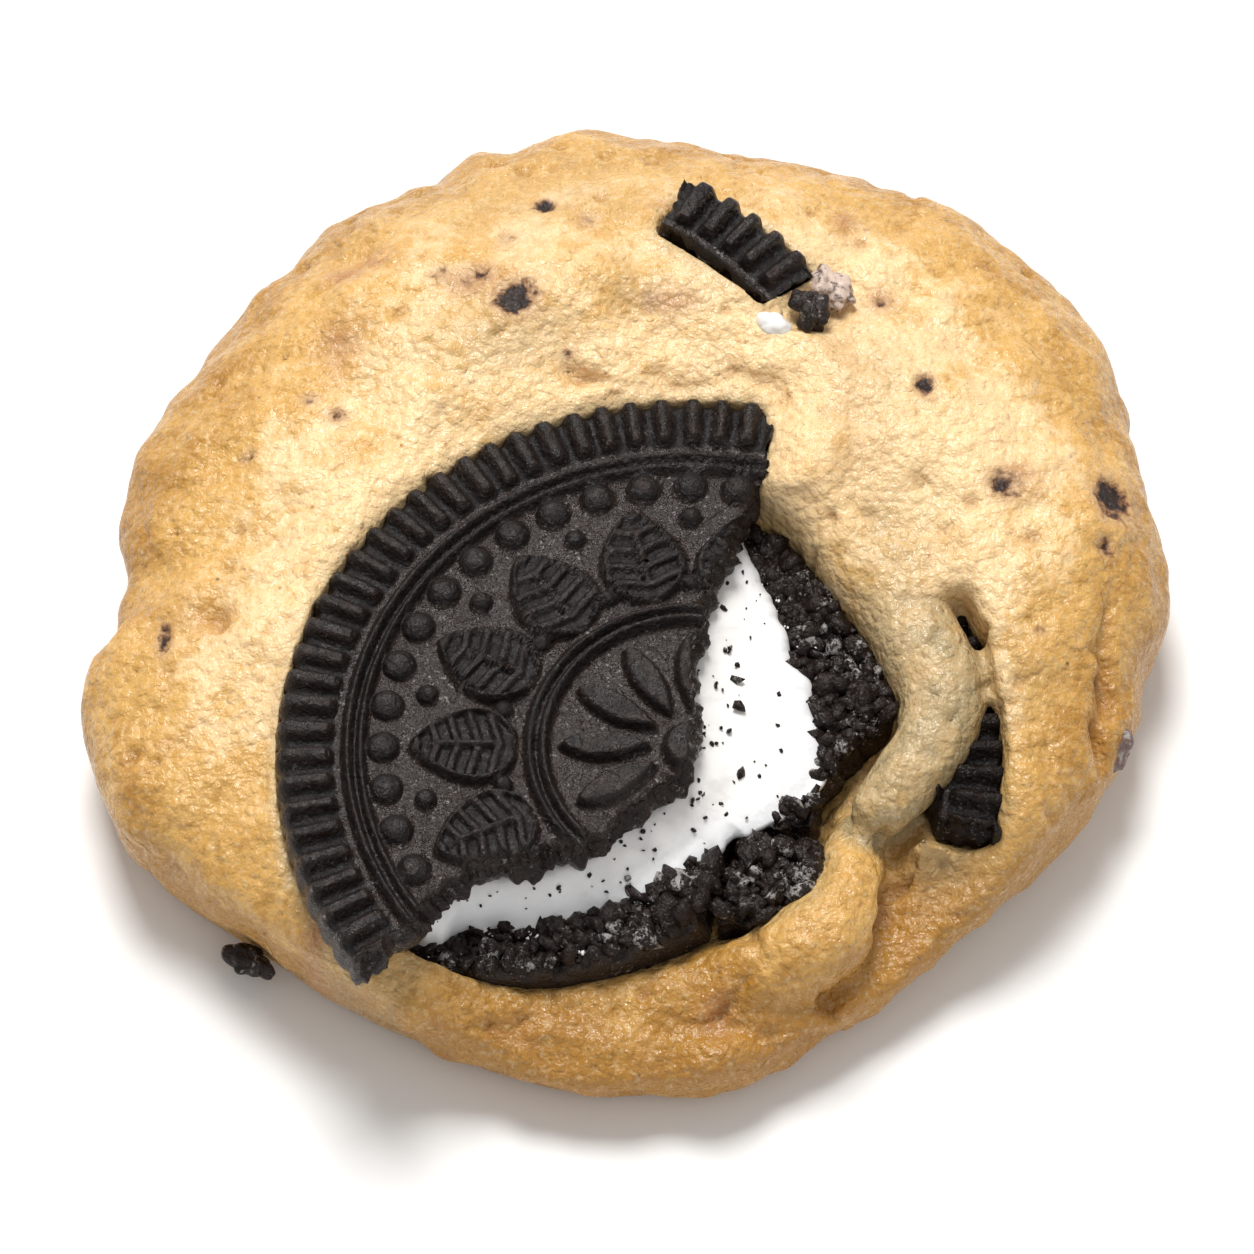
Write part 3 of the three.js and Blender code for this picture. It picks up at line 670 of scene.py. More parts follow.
@dataclass(frozen=True)
class CreamFinish:
    """White sugar filling, smooth and a little translucent."""

    white: Colour = (0.93, 0.91, 0.885)
    cool: Colour = (0.91, 0.91, 0.925)
    cocoa: Colour = (0.03, 0.02, 0.02)
    roughness: float = 0.42
    soil: float = 0.0

    def material(self, name: str = "cream_filling") -> bpy.types.Material:
        """White, cooler towards the thin margin, with a faint grain and, if soiled, dark biscuit dust."""
        n = Nodes(name)
        soiled = n.between(n.grain(0.7, 4, 0.7), 0.48, 0.60, 0.0, self.soil)
        n.feed("Base Color", n.coated(self.white, (n.attribute("thin"), self.cool), (soiled, self.cocoa)))
        n.feed("Roughness", self.roughness)
        n.feed("Normal", n.bump(n.grain(0.3, 3), 0.03, n.bump(n.grain(1.6, 2), 0.14)))
        n.scattering(0.12, (1.0, 0.9, 0.8), 1.5)
        return n.material


# ---- The sandwich biscuit ----


@dataclass(frozen=True)
class Biscuit:
    """A whole sandwich biscuit, which the dark pieces were broken from, its pressed face a plain design."""

    radius: float = 22.25
    wafer: float = 3.2
    cream_radius: float = 19.9
    ribs: int = 82
    rib_depth: float = 0.7
    rib_inner: float = 0.87
    gutter: float = 0.856
    relief: float = 0.8
    rings: tuple[tuple[float, float, float], ...] = (
        (1.0, 0.795, 0.812), (1.0, 0.826, 0.846), (1.0, 0.352, 0.372), (0.8, 0.385, 0.405)
    )
    leaves: int = 14
    petals: int = 12
    beads: int = 40

    def ribbing(self, bearing: Array) -> Array:
        """Cross-section of the ribs round the edge: 1 on a rounded bar and 0 in a groove."""
        uneven = 0.22 * np.sin(bearing * 0.37) + 0.15 * np.sin(bearing * 1.31 + 2)
        wave = 0.5 - 0.5 * np.cos(2 * np.pi * ((bearing + 0.3) * self.ribs / 360) + uneven)
        return smooth(0.0, 0.9, wave)

    def face(self, xy: Array) -> Array:
        """Depth of the pressed face below its highest places.

        The face is the highest of rounded bands over the distance from the middle, as a share of the radius:
        ribs, a double ring, beads, a wreath of pointed leaves with veins and with dots between their tips, a
        second ring and a rosette of plain petals round a boss.

        Args:
            xy: Places about the biscuit's own middle, (..., 2).

        Returns:
            Depths in mm, 0 on the raised parts.
        """
        share = np.hypot(xy[..., 0], xy[..., 1]) / self.radius
        bearing = np.degrees(np.arctan2(xy[..., 1], xy[..., 0]))

        def band(low: float, high: float, soft: float = 0.011) -> Array:
            """1 between two shares of the radius, with rounded sides."""
            return smooth(low - soft, low + soft, share) * (1 - smooth(high - soft, high + soft, share))

        def off_spoke(spokes: int, turn: float = 0.0) -> Array:
            """Distance in mm to the nearest of some spokes."""
            off = np.abs(turn_between(0, (bearing + turn) * spokes)) / spokes
            return np.radians(off) * share * self.radius

        def dots(spokes: int, at: float, size: float, turn: float = 0.0) -> Array:
            """Round-topped dots on the spokes at a share of the radius."""
            away = np.hypot(off_spoke(spokes, turn), (share - at) * self.radius) / size
            return np.sqrt(np.clip(1 - away**2, 0, 1))

        def leaf() -> Array:
            """A pointed leaf on each spoke: a raised rim, a middle vein and slanting side veins."""
            spoke = off_spoke(self.leaves)
            along = np.clip((share - 0.415) / 0.28, 0, 1)
            within = 2.55 * np.sin(np.pi * along**0.8) ** 0.75 - spoke
            vein = smooth(0.28, 0.10, spoke) * band(0.46, 0.64, 0.03)
            side_veins = smooth(0.35, 0.9, np.cos((along * 9.5 - spoke * 0.55) * 2 * np.pi / 1.7) * 0.5 + 0.5)
            inner = np.maximum.reduce([smooth(0.75, 0.45, within), 0.42 + 0.40 * side_veins, vein])
            return smooth(0.0, 0.5, within) * band(0.43, 0.685) * inner

        between = 180 / self.leaves
        petal = 0.98 * np.sin(np.pi * np.clip((share - 0.09) / 0.235, 0, 1) ** 1.25) ** 0.6
        parts = [
            *(rise * band(low, high) for rise, low, high in self.rings),
            0.9 * dots(self.beads, 0.751, 0.95),
            leaf(),
            0.85 * dots(self.leaves, 0.66, 0.62, between),
            0.75 * dots(self.leaves, 0.47, 0.55, between),
            smooth(0.0, 0.35, petal - off_spoke(self.petals)) * band(0.10, 0.32),
            1 - smooth(0.055, 0.08, share),
        ]
        inner = self.relief * (1 - np.maximum.reduce(parts))
        ribbed = self.rib_depth * (1 - self.ribbing(bearing))
        low = self.relief * 0.95
        outer = low + (ribbed - low) * smooth(self.rib_inner - 0.004, self.rib_inner + 0.018, share)
        return np.where(share > self.gutter, outer, inner)


BISCUIT = Biscuit()


class Side(Enum):
    """Which face of a wafer is up."""

    PRESSED = "pressed"
    PLAIN = "plain"


@dataclass(frozen=True)
class Fragment:
    """A broken piece of wafer as a closed grid, with a ray from a point inside to each place on its outline.

    A place on the face is inside + t (outline - inside) for t in 0..1; its height is the wafer's thickness
    less the depth of the face. Then come rows down the wall and a flat back. Its outline is a run of breaks
    and, where it has one, a length of the wafer's whole rim between two bearings.
    """

    name: str
    breaks: list[Point2]
    rim: tuple[float, float] | None
    inside: Point2
    middle: Point3
    tilt: float = 0.0
    towards: float = 0.0
    side: Side = Side.PRESSED
    columns: int = 820
    rows: int = 96
    wall_rows: int = 14
    crumble: float = 0.32
    ledge: float = 0.35
    grit: float = 0.0
    dust: float = 0.0
    wet: float = 0.0
    seed: int = 1

    def corners(self) -> Array:
        """The outline's corners, the rim as short steps, counter-clockwise."""
        rim = arc(BISCUIT.radius, *self.rim) if self.rim else np.zeros((0, 2))
        return anticlockwise(np.vstack([np.array(self.breaks, float), rim]))

    def outline(self) -> tuple[Array, Array, Array]:
        """The outline in even steps, how much of each step is broken, and which way is out.

        Returns:
            Points (columns, 2), broken shares (columns) and unit outward directions (columns, 2).
        """
        line = resampled(self.corners(), self.columns, True)
        whole = smooth(BISCUIT.radius - 0.5, BISCUIT.radius - 0.05, np.hypot(*line.T))
        broken = smooth(0.75, 0.25, whole) if self.rim else np.ones(self.columns)
        line += broken[:, None] * (rounded(line, 6) - line)
        return line, broken, outward(line)

    def top(self, edge: Array, broken: Array) -> tuple[Array, Array, Array]:
        """The upper face, from the edge inwards.

        Args:
            edge: The outline in even steps, (columns, 2).
            broken: How much of each step is broken.

        Returns:
            Points (rows, columns, 3), their depths in mm and how near each is to a break, 0 to 1.
        """
        inside = np.array(self.inside)
        t = np.linspace(1, 0.012, self.rows) ** 0.92
        xy = inside + t[:, None, None] * (edge - inside)
        depth = BISCUIT.face(xy) if self.side is Side.PRESSED else np.zeros(xy.shape[:2])
        to_edge = (1 - t)[:, None] * np.linalg.norm(edge - inside, axis=1)
        rolled = np.clip(1 - to_edge / 0.42, 0, 1)
        depth = depth + (0.30 * (1 - broken) + 0.16 * broken) * (1 - np.sqrt(1 - rolled**2 * 0.98))
        place = on_plane(xy)
        near_break = broken * smooth(1.5, 0.0, to_edge)
        depth = depth - 0.05 * layered(place, 1.3, 3, self.seed + 9)
        depth = depth + 0.14 * near_break * layered(place, 0.8, 2, self.seed + 13)
        if self.grit:
            lumps = grains(place, 1.35, self.seed + 17) + 0.55 * grains(place, 0.62, self.seed + 19)
            depth = depth + self.grit * (0.75 - lumps)
        return np.dstack([xy, BISCUIT.wafer - depth]), depth, near_break

    def wall(self, line: Array, edge: Array, broken: Array, out: Array, height: Array) -> Array:
        """The wall, from the face down: bulging where the rim is whole, rough and stepped where it broke.

        Args:
            line: The outline before it was made ragged, (columns, 2).
            edge: The outline, (columns, 2).
            broken: How much of each step is broken.
            out: Unit outward directions, (columns, 2).
            height: Height of the face at each step.

        Returns:
            Points, (wall_rows, columns, 3).
        """
        g = np.linspace(0, 1, self.wall_rows + 2)[1:-1, None]
        z = height * (1 - g)
        bulge = 0.30 * np.sin(np.pi * g) ** 0.5 * (1 - broken) ** 2
        place = np.stack(np.broadcast_arrays(line[:, 0], line[:, 1], z), axis=-1) + FLAT_SHIFT
        pitted = self.crumble * 1.1 * layered(place, 1.1, 3, self.seed + 23)
        stepped = self.ledge * smooth(0.35, 0.65, g + 0.25 * noise(place, 2.2, self.seed + 29))
        rough = broken * (pitted + stepped - 0.18) + 0.05 * layered(place, 0.7, 2, self.seed + 31)
        ends = np.minimum(1, 4 * (1 - g)) * np.minimum(1, 6 * g)
        return np.dstack([edge + out * (rough * ends + bulge)[..., None], z])

    def surface(self) -> Surface:
        """The closed surface, with the values proud, deep, broken and dust for its finish; deep marks painted
        shade.
        """
        line, broken, out = self.outline()
        flat = np.column_stack([line, np.zeros(len(line))])
        waver = 1.1 * layered(flat, 1.9, 2, self.seed) + 0.8 * layered(flat, 0.6, 2, self.seed + 5)
        bearing = np.degrees(np.arctan2(line[:, 1], line[:, 0]))
        pressed = self.side is Side.PRESSED
        scallop = -0.2 * (1 - BISCUIT.ribbing(bearing)) * (1 - broken) * pressed
        edge = line + out * (self.crumble * broken * waver + scallop)[:, None]
        top, depth, near_break = self.top(edge, broken)
        wall = self.wall(line, edge, broken, out, top[0, :, 2])

        inside = np.array(self.inside)
        back_xy = inside + np.array([0.985, 0.9, 0.5, 0.1])[:, None, None] * (edge - inside)
        back = np.dstack([back_xy, np.zeros(back_xy.shape[:2])])
        first, last = np.array([*inside, 0.0]), np.array([*inside, float(top[-1, :, 2].mean())])
        made = Surface.of_rings(first, np.vstack([back[::-1], wall[::-1], top]), last)

        radius = np.hypot(top[..., 0], top[..., 1])
        level = np.clip(depth / BISCUIT.relief, 0, 1)
        painted_wall_shade = 0.9 * smooth(0.3, 0.9, 4 * level * (1 - level)) * pressed
        ribbed = radius > BISCUIT.rib_inner * BISCUIT.radius
        below = np.zeros((len(back) + len(wall), self.columns))
        rows = {
            "broken": [below[: len(back)], np.tile(broken, (len(wall), 1)), near_break],
            "proud": [below, smooth(0.3, 0.05, depth)],
            # deep: painted shade in the grooves between the ribs and on the slopes of the pressed relief.
            "deep": [below, np.where(ribbed, smooth(0.2, 0.6, depth), painted_wall_shade)],
            "dust": [below, self.dust * smooth(BISCUIT.radius - 0.3, BISCUIT.radius - 2.2, radius)],
        }
        for key, parts in rows.items():
            grid = np.vstack(parts)
            made.values[key] = np.concatenate([[0.0], grid.ravel(), [float(grid[-1].mean())]])
        made.points = placed(made.points, self.middle, self.tilt, self.towards)
        return made

    def build(self, finish: BiscuitFinish) -> bpy.types.Object:
        """Makes and dresses the piece."""
        material = finish.material(f"{self.name}_biscuit", self.wet)
        return finished(self.surface(), self.name, Slot.BISCUIT, material, self.name)

    def region(self) -> Array:
        """The outline's corners where the piece lies, in plan."""
        return self.corners() + np.array(self.middle[:2])

    def underside(self, xy: Array) -> Array:
        """Height of the piece's back over places in plan."""
        side = math.radians(self.towards)
        ahead = (xy - np.array(self.middle[:2])) @ np.array([math.cos(side), math.sin(side)])
        return self.middle[2] - ahead * math.tan(math.radians(self.tilt))

    def topside(self, xy: Array) -> Array:
        """Height of the piece's upper face over places in plan."""
        return self.underside(xy) + BISCUIT.wafer


def wafer_edge(
    name: str,
    middle: Point3,
    tilt: float,
    towards: float,
    bearings: tuple[float, float],
    inner: float,
    **more: object,
) -> Fragment:
    """A short length of ribbed wafer edge between two bearings, from an inner share of the radius outwards.

    Args:
        name: Name of the piece and of its node.
        middle: Where the middle of its whole wafer would lie.
        tilt: Degrees that it leans.
        towards: Bearing that it leans towards.
        bearings: Where it starts and ends round the wafer.
        inner: Share of the radius where its inner break runs.
        **more: Other fields of the fragment.

    Returns:
        The fragment.
    """
    ends = arc(BISCUIT.radius * inner, *bearings[::-1], 400)
    waist = arc(BISCUIT.radius * (1 + inner) / 2, *bearings, 400)
    inside = tuple(float(v) for v in waist.mean(axis=0))
    breaks = [tuple(ends[0]), tuple(ends[-1])]
    return Fragment(name, breaks, bearings, inside, middle, tilt, towards, **more)


TOP_WAFER = Fragment(
    "top_wafer",
    [
        (3.9, 21.9), (4.35, 20.1), (4.1, 18.2), (3.0, 15.3), (1.6, 11.4), (0.2, 7.6), (-0.2, 4.6),
        (0.3, 0.0), (-0.5, -1.4), (-2.2, -2.8), (-4.1, -4.1), (-5.9, -5.9), (-7.6, -6.4), (-9.8, -6.7),
        (-11.9, -7.0), (-13.6, -8.1), (-14.5, -9.6), (-15.1, -11.0), (-16.4, -12.4),
    ],
    rim=(216.5, 80.0), inside=(-14.0, 2.0),
    middle=(3.5, -13.6, 10.0), tilt=1.5, towards=80.0,
    crumble=0.5, ledge=0.6, seed=3,
)
BASE_WAFER = Fragment(
    "base_wafer",
    [
        (11.4, -18.8), (11.9, -16.4), (12.9, -13.4), (17.2, -13.4), (17.6, -11.4), (18.9, -9.4),
        (22.0, -6.6), (20.5, -2.7), (18.3, 0.8), (16.2, 3.8), (13.6, 5.6), (8.5, 5.5),
    ],
    rim=(252.0, 300.8), inside=(6.0, -8.0),
    middle=(-7.1, -2.2, 4.1), tilt=2.0, towards=185.0,
    side=Side.PLAIN, columns=720, rows=90, grit=1.15, dust=0.5, seed=61,
)
BASE_CHUNK = Fragment(
    "base_chunk",
    [(13.6, -13.9), (17.6, -14.1), (17.9, -16.0), (17.2, -18.0), (15.2, -19.1), (12.0, -19.0), (12.6, -16.2)],
    rim=None, inside=(15.0, -16.4),
    middle=(-7.1, -2.2, 4.1), tilt=2.5, towards=230.0,
    side=Side.PLAIN, columns=300, rows=40, wall_rows=24, grit=1.15, dust=0.3, seed=97,
)
BACK_SHARD = wafer_edge(
    "back_shard",
    middle=(-7.1, 2.9, 11.0), tilt=4.0, towards=320.0, bearings=(38.5, 62.0), inner=0.835,
    columns=360, rows=40, wall_rows=22, seed=151,
)
RIGHT_SHARD = wafer_edge(
    "right_shard",
    middle=(-1.8, -12.0, 7.2), tilt=4.0, towards=0.0, bearings=(-11.5, 24.5), inner=0.85,
    columns=420, rows=30, wall_rows=22, wet=0.9, seed=163,
)
FRAGMENTS = (TOP_WAFER, BASE_WAFER, BASE_CHUNK, BACK_SHARD, RIGHT_SHARD)


@dataclass(frozen=True)
class Filling:
    """The cream between the wafers: thick in the middle, thinning towards its edge where it shows."""

    breaks: tuple[Point2, ...] = (
        (13.2, -14.0), (14.2, -13.8), (15.3, -13.2), (17.1, -12.3), (17.9, -10.9), (17.8, -8.6),
        (17.6, -6.8), (16.6, -3.9), (15.3, -0.6), (14.2, 2.3), (13.7, 4.3), (13.2, 5.2), (9.4, 4.0),
        (-7.0, -17.5), (-6.0, -19.6), (-4.6, -20.9), (-3.3, -20.9), (-1.6, -20.1),
    )
    rim: tuple[float, float] = (268.0, 296.0)
    inside: Point2 = (5.0, -8.0)
    columns: int = 640
    rows: int = 110

    def corners(self, inset: float = 0.0) -> Array:
        """The outline's corners about the lower wafer's middle, its whole rim set in by some mm."""
        return np.vstack([np.array(self.breaks), arc(BISCUIT.cream_radius - inset, *self.rim)])

    def lens(self, share: Array) -> Array:
        """Thickness over the distance from the middle, as a share of the filling's radius."""
        shares = [0.0, 0.3, 0.66, 0.8, 0.9, 0.97, 1.02]
        return np.interp(share, shares, [1.7, 1.7, 1.5, 1.2, 0.85, 0.5, 0.15])

    def height(self, xy: Array) -> Array:
        """Height of the filling's upper surface over places in plan, pressed up against the wafer above."""
        own = xy - np.array(BASE_WAFER.middle[:2])
        share = np.hypot(own[..., 0], own[..., 1]) / BISCUIT.cream_radius
        lens = BASE_WAFER.topside(xy) + 0.1 + self.lens(share)
        under = smooth(2.2, -0.3, beyond(xy, TOP_WAFER.region()))
        ceiling = TOP_WAFER.underside(xy) - 0.02
        return lens + (ceiling - lens) * under * 0.98

    def surface(self) -> Surface:
        """A grid of rays from a point inside to the outline, its top the height above and its back flat."""
        line = rounded(resampled(anticlockwise(self.corners()), self.columns, True), 10)
        flat = np.column_stack([line, np.zeros(len(line))])
        line = line + outward(line) * (0.50 * layered(flat, 1.7, 3, 7))[:, None]
        inside = np.array(self.inside)
        t = np.linspace(1, 0.01, self.rows) ** 0.9
        xy = inside + t[:, None, None] * (line - inside) + np.array(BASE_WAFER.middle[:2])
        to_edge = (1 - t)[:, None] * np.linalg.norm(line - inside, axis=1)
        bottom = BASE_WAFER.topside(xy) + 0.08
        top = self.height(xy)
        place = on_plane(xy)
        top = top + 0.16 * layered(place, 3.0, 3, 11) + 0.05 * layered(place, 0.9, 2, 12)
        swell = np.sqrt(np.clip(1 - (1 - np.clip(to_edge / 1.2, 0, 1)) ** 2, 0, 1))
        z = bottom + (top - bottom) * (0.06 + 0.94 * swell)
        rings = np.vstack([np.dstack([xy[:1], bottom[:1] - 0.3]), np.dstack([xy, z])])
        middle = inside + np.array(BASE_WAFER.middle[:2])
        first, last = np.array([*middle, bottom[-1].mean() - 0.3]), np.array([*middle, z[-1].mean()])
        made = Surface.of_rings(first, rings, last)
        thin = smooth(2.6, 0.2, to_edge)
        made.values["thin"] = np.concatenate([[0.0], np.zeros(self.columns), thin.ravel(), [0.0]])
        return made

    def build(self, finish: CreamFinish) -> bpy.types.Object:
        """Makes and dresses the filling."""
        return finished(self.surface(), "cream", Slot.CREAM, finish.material(), "cream")


@dataclass(frozen=True)
class Lump:
    """A crumbly lump: a ball of its size whose skin is moved in and out by grains and noise."""

    name: str
    at: Point3
    size: Point3
    turn: float = 0.0
    seed: int = 1
    rows: int = 48
    columns: int = 96
    rough: float = 0.22

    def surface(self) -> Surface:
        """At polar angle a and bearing b it is size/2 (sin a cos b, sin a sin b, cos a), times its relief."""
        a = np.linspace(np.pi, 0, self.rows + 2)[1:-1, None]
        b = np.linspace(0, 2 * np.pi, self.columns, endpoint=False)[None]
        level = np.broadcast_arrays(np.sin(a) * np.cos(b), np.sin(a) * np.sin(b), np.cos(a))
        made = Surface.of_rings(np.array([0, 0, -1.0]), np.stack(level, axis=-1), np.array([0, 0, 1.0]))
        unit = made.points
        place = unit * np.array(self.size) / 2 + LUMP_SHIFT + self.seed
        relief = 0.9 + self.rough * (layered(place, 1.5, 3, self.seed) + grains(place, 0.8, self.seed) - 0.4)
        turn = np.array(Matrix.Rotation(math.radians(self.turn), 3, "Z"))
        made.points = (unit * relief[:, None] * np.array(self.size) / 2) @ turn.T + np.array(self.at)
        made.values = {
            "proud": smooth(0.9, 1.05, relief),
            "broken": np.full(len(unit), 0.5),
            "dust": np.full(len(unit), 0.22),
            "thin": np.zeros(len(unit)),
        }
        return made

    def build(self, slot: Slot, material: bpy.types.Material) -> bpy.types.Object:
        """Makes and dresses the lump."""
        return finished(self.surface(), self.name, slot, material, self.name)


# ---- The dough ----


@dataclass(frozen=True)
class Lobe:
    """A swelling or notch of the outline at a bearing."""

    bearing: float
    spread: float
    swell: float


@dataclass(frozen=True)
class Spot:
    """A soft round spot in plan: a rise or hollow of the upper surface, or a patch of its colour."""

    x: float
    y: float
    reach_x: float
    reach_y: float
    rise: float

    def share(self, xy: Array) -> Array:
        """A bell over the place: 1 in the middle, and 1/e at the reach."""
        return bell(np.hypot((xy[..., 0] - self.x) / self.reach_x, (xy[..., 1] - self.y) / self.reach_y))


def strongest(spots: tuple[Spot, ...], xyz: Array) -> Array:
    """The strongest of some spots at each point, in plan."""
    return np.max([spot.rise * spot.share(xyz) for spot in spots], axis=0)


@dataclass(frozen=True)
class Groove:
    """A crease in the skin along a line through space, with its width and depth in mm."""

    path: tuple[Point3, ...]
    width: float
    depth: float

    def sink(self, xyz: Array) -> Array:
        """How deep the skin sinks: a bell over the distance to the wavering line, heights counting half."""
        p = xyz + CREASE_SHIFT
        wavering = xyz + 0.45 * np.stack([noise(p, 1.6, 61 + k) for k in range(3)], axis=-1)
        squash = np.array([1, 1, 0.5])
        away = to_path(wavering * squash, np.array(self.path) * squash)
        return self.depth * (0.75 + 0.5 * noise(p, 2.3, 67)) * bell(away / self.width)


@dataclass(frozen=True)
class Bank:
    """The low bank of dough in front of the lower wafer: its bearings from start to end, and its heights."""

    start: tuple[float, float] = (236.0, 262.0)
    end: tuple[float, float] = (298.0, 318.0)
    crown: float = 7.4
    widest: float = 3.6

    def share(self, bearing: Array) -> Array:
        """How far the surface follows the bank, 0 to 1."""
        return smooth(*self.start, bearing) * (1 - smooth(*self.end, bearing))


@dataclass(frozen=True)
class Fold:
    """A rounded roll of dough along a centre line, its radius changing on the way."""

    path: tuple[Point3, ...]
    radii: tuple[float, ...]
    steps: int = 90
    sides: int = 48

    def surface(self) -> Surface:
        """Carries a circle along the line: middle(s) + r(s) (side cos k + up sin k), with rounded ends."""
        line = eased(resampled(np.array(self.path), self.steps, False), 60)
        radii = np.column_stack([np.linspace(0, 1, len(self.radii)), self.radii])
        radii = eased(resampled(radii, self.steps, False)[:, 1], 60)
        along = np.gradient(line, axis=0)
        along /= np.linalg.norm(along, axis=1, keepdims=True)
        side = np.cross(along, [0, 0, 1.0])
        side /= np.linalg.norm(side, axis=1, keepdims=True)
        up = np.cross(side, along)
        turn = np.linspace(0, np.pi / 2, 9)[1:-1]
        out, size = np.cos(turn), np.sin(turn)
        before = line[0] - along[0] * radii[0] * out[:, None]
        after = line[-1] + along[-1] * radii[-1] * out[::-1, None]
        middles = np.vstack([before, line, after])
        sizes = np.concatenate([radii[0] * size, radii, radii[-1] * size[::-1]])
        pick = np.clip(np.arange(len(middles)) - len(turn), 0, len(line) - 1)
        k = np.linspace(0, 2 * np.pi, self.sides, endpoint=False)[None, :, None]
        circle = side[pick][:, None] * np.cos(k) + up[pick][:, None] * np.sin(k)
        rings = middles[:, None] + sizes[:, None, None] * circle
        first, last = line[0] - along[0] * radii[0], line[-1] + along[-1] * radii[-1]
        return Surface.of_rings(first, rings[:, ::-1], last)

    def share(self, xyz: Array, far: float, close: float) -> Array:
        """0 from a far distance to the centre line outwards, and 1 from a close one inwards."""
        return smooth(far, close, to_path(xyz, np.array(self.path)))


@dataclass(frozen=True)
class Dip:
    """A deep place in the upper surface: its outline in plan, its floor's height and its wall's width."""

    outline: tuple[Point2, ...]
    floor: float
    wall: float

    def sunk(self, xy: Array, z: Array) -> Array:
        """The height with everything inside the outline lowered to the floor."""
        share = smooth(0.5 * self.wall, -0.5 * self.wall, beyond(xy, np.array(self.outline)))
        return z + (np.minimum(self.floor, z) - z) * share


RIGHT_FOLD = Fold(
    (
        (14.2, 2.6, 8.8), (14.9, -1.7, 8.9), (15.9, -4.6, 8.9), (17.6, -8.0, 8.8), (17.1, -10.4, 8.5),
        (15.9, -12.4, 8.3), (14.5, -14.0, 8.1), (13.8, -14.8, 8.0),
    ),
    (2.0, 2.1, 2.15, 2.5, 2.45, 2.3, 2.1, 1.8),
)
FRONT_FOLD = Fold(
    (
        (15.0, -13.8, 6.2), (13.2, -14.9, 6.0), (12.2, -16.4, 6.0), (12.4, -18.3, 6.2),
        (12.0, -20.0, 6.2), (10.2, -22.3, 5.9), (7.2, -23.6, 5.1), (3.2, -24.6, 4.0),
    ),
    (1.2, 1.4, 1.6, 2.0, 2.5, 2.8, 2.4, 1.6),
)
FOLDS = (RIGHT_FOLD, FRONT_FOLD)
SLIVER = Dip(
    (
        (18.5, -3.5), (18.8, -3.2), (19.1, -4.0), (19.5, -5.1), (19.8, -6.4), (19.2, -6.7), (18.3, -5.4),
        (17.9, -4.3),
    ),
    floor=6.4, wall=0.4,
)
CLEFT = Dip(
    (
        (19.4, -8.9), (20.2, -10.2), (20.5, -12.2), (20.3, -14.4), (19.8, -16.4), (18.6, -17.0),
        (17.0, -16.6), (15.6, -16.3), (15.0, -15.4), (16.0, -13.0), (17.4, -9.6),
    ),
    floor=6.4, wall=1.0,
)
UNDER_FOLDS = Dip(
    (
        (13.9, -9.6), (15.8, -10.4), (16.6, -12.5), (15.9, -15.0), (15.3, -17.2), (15.0, -20.4),
        (13.6, -22.9), (11.6, -24.3), (9.4, -24.9), (7.0, -24.9), (7.5, -22.0), (10.6, -19.5),
        (11.0, -16.0), (11.4, -13.6),
    ),
    floor=5.6, wall=1.3,
)


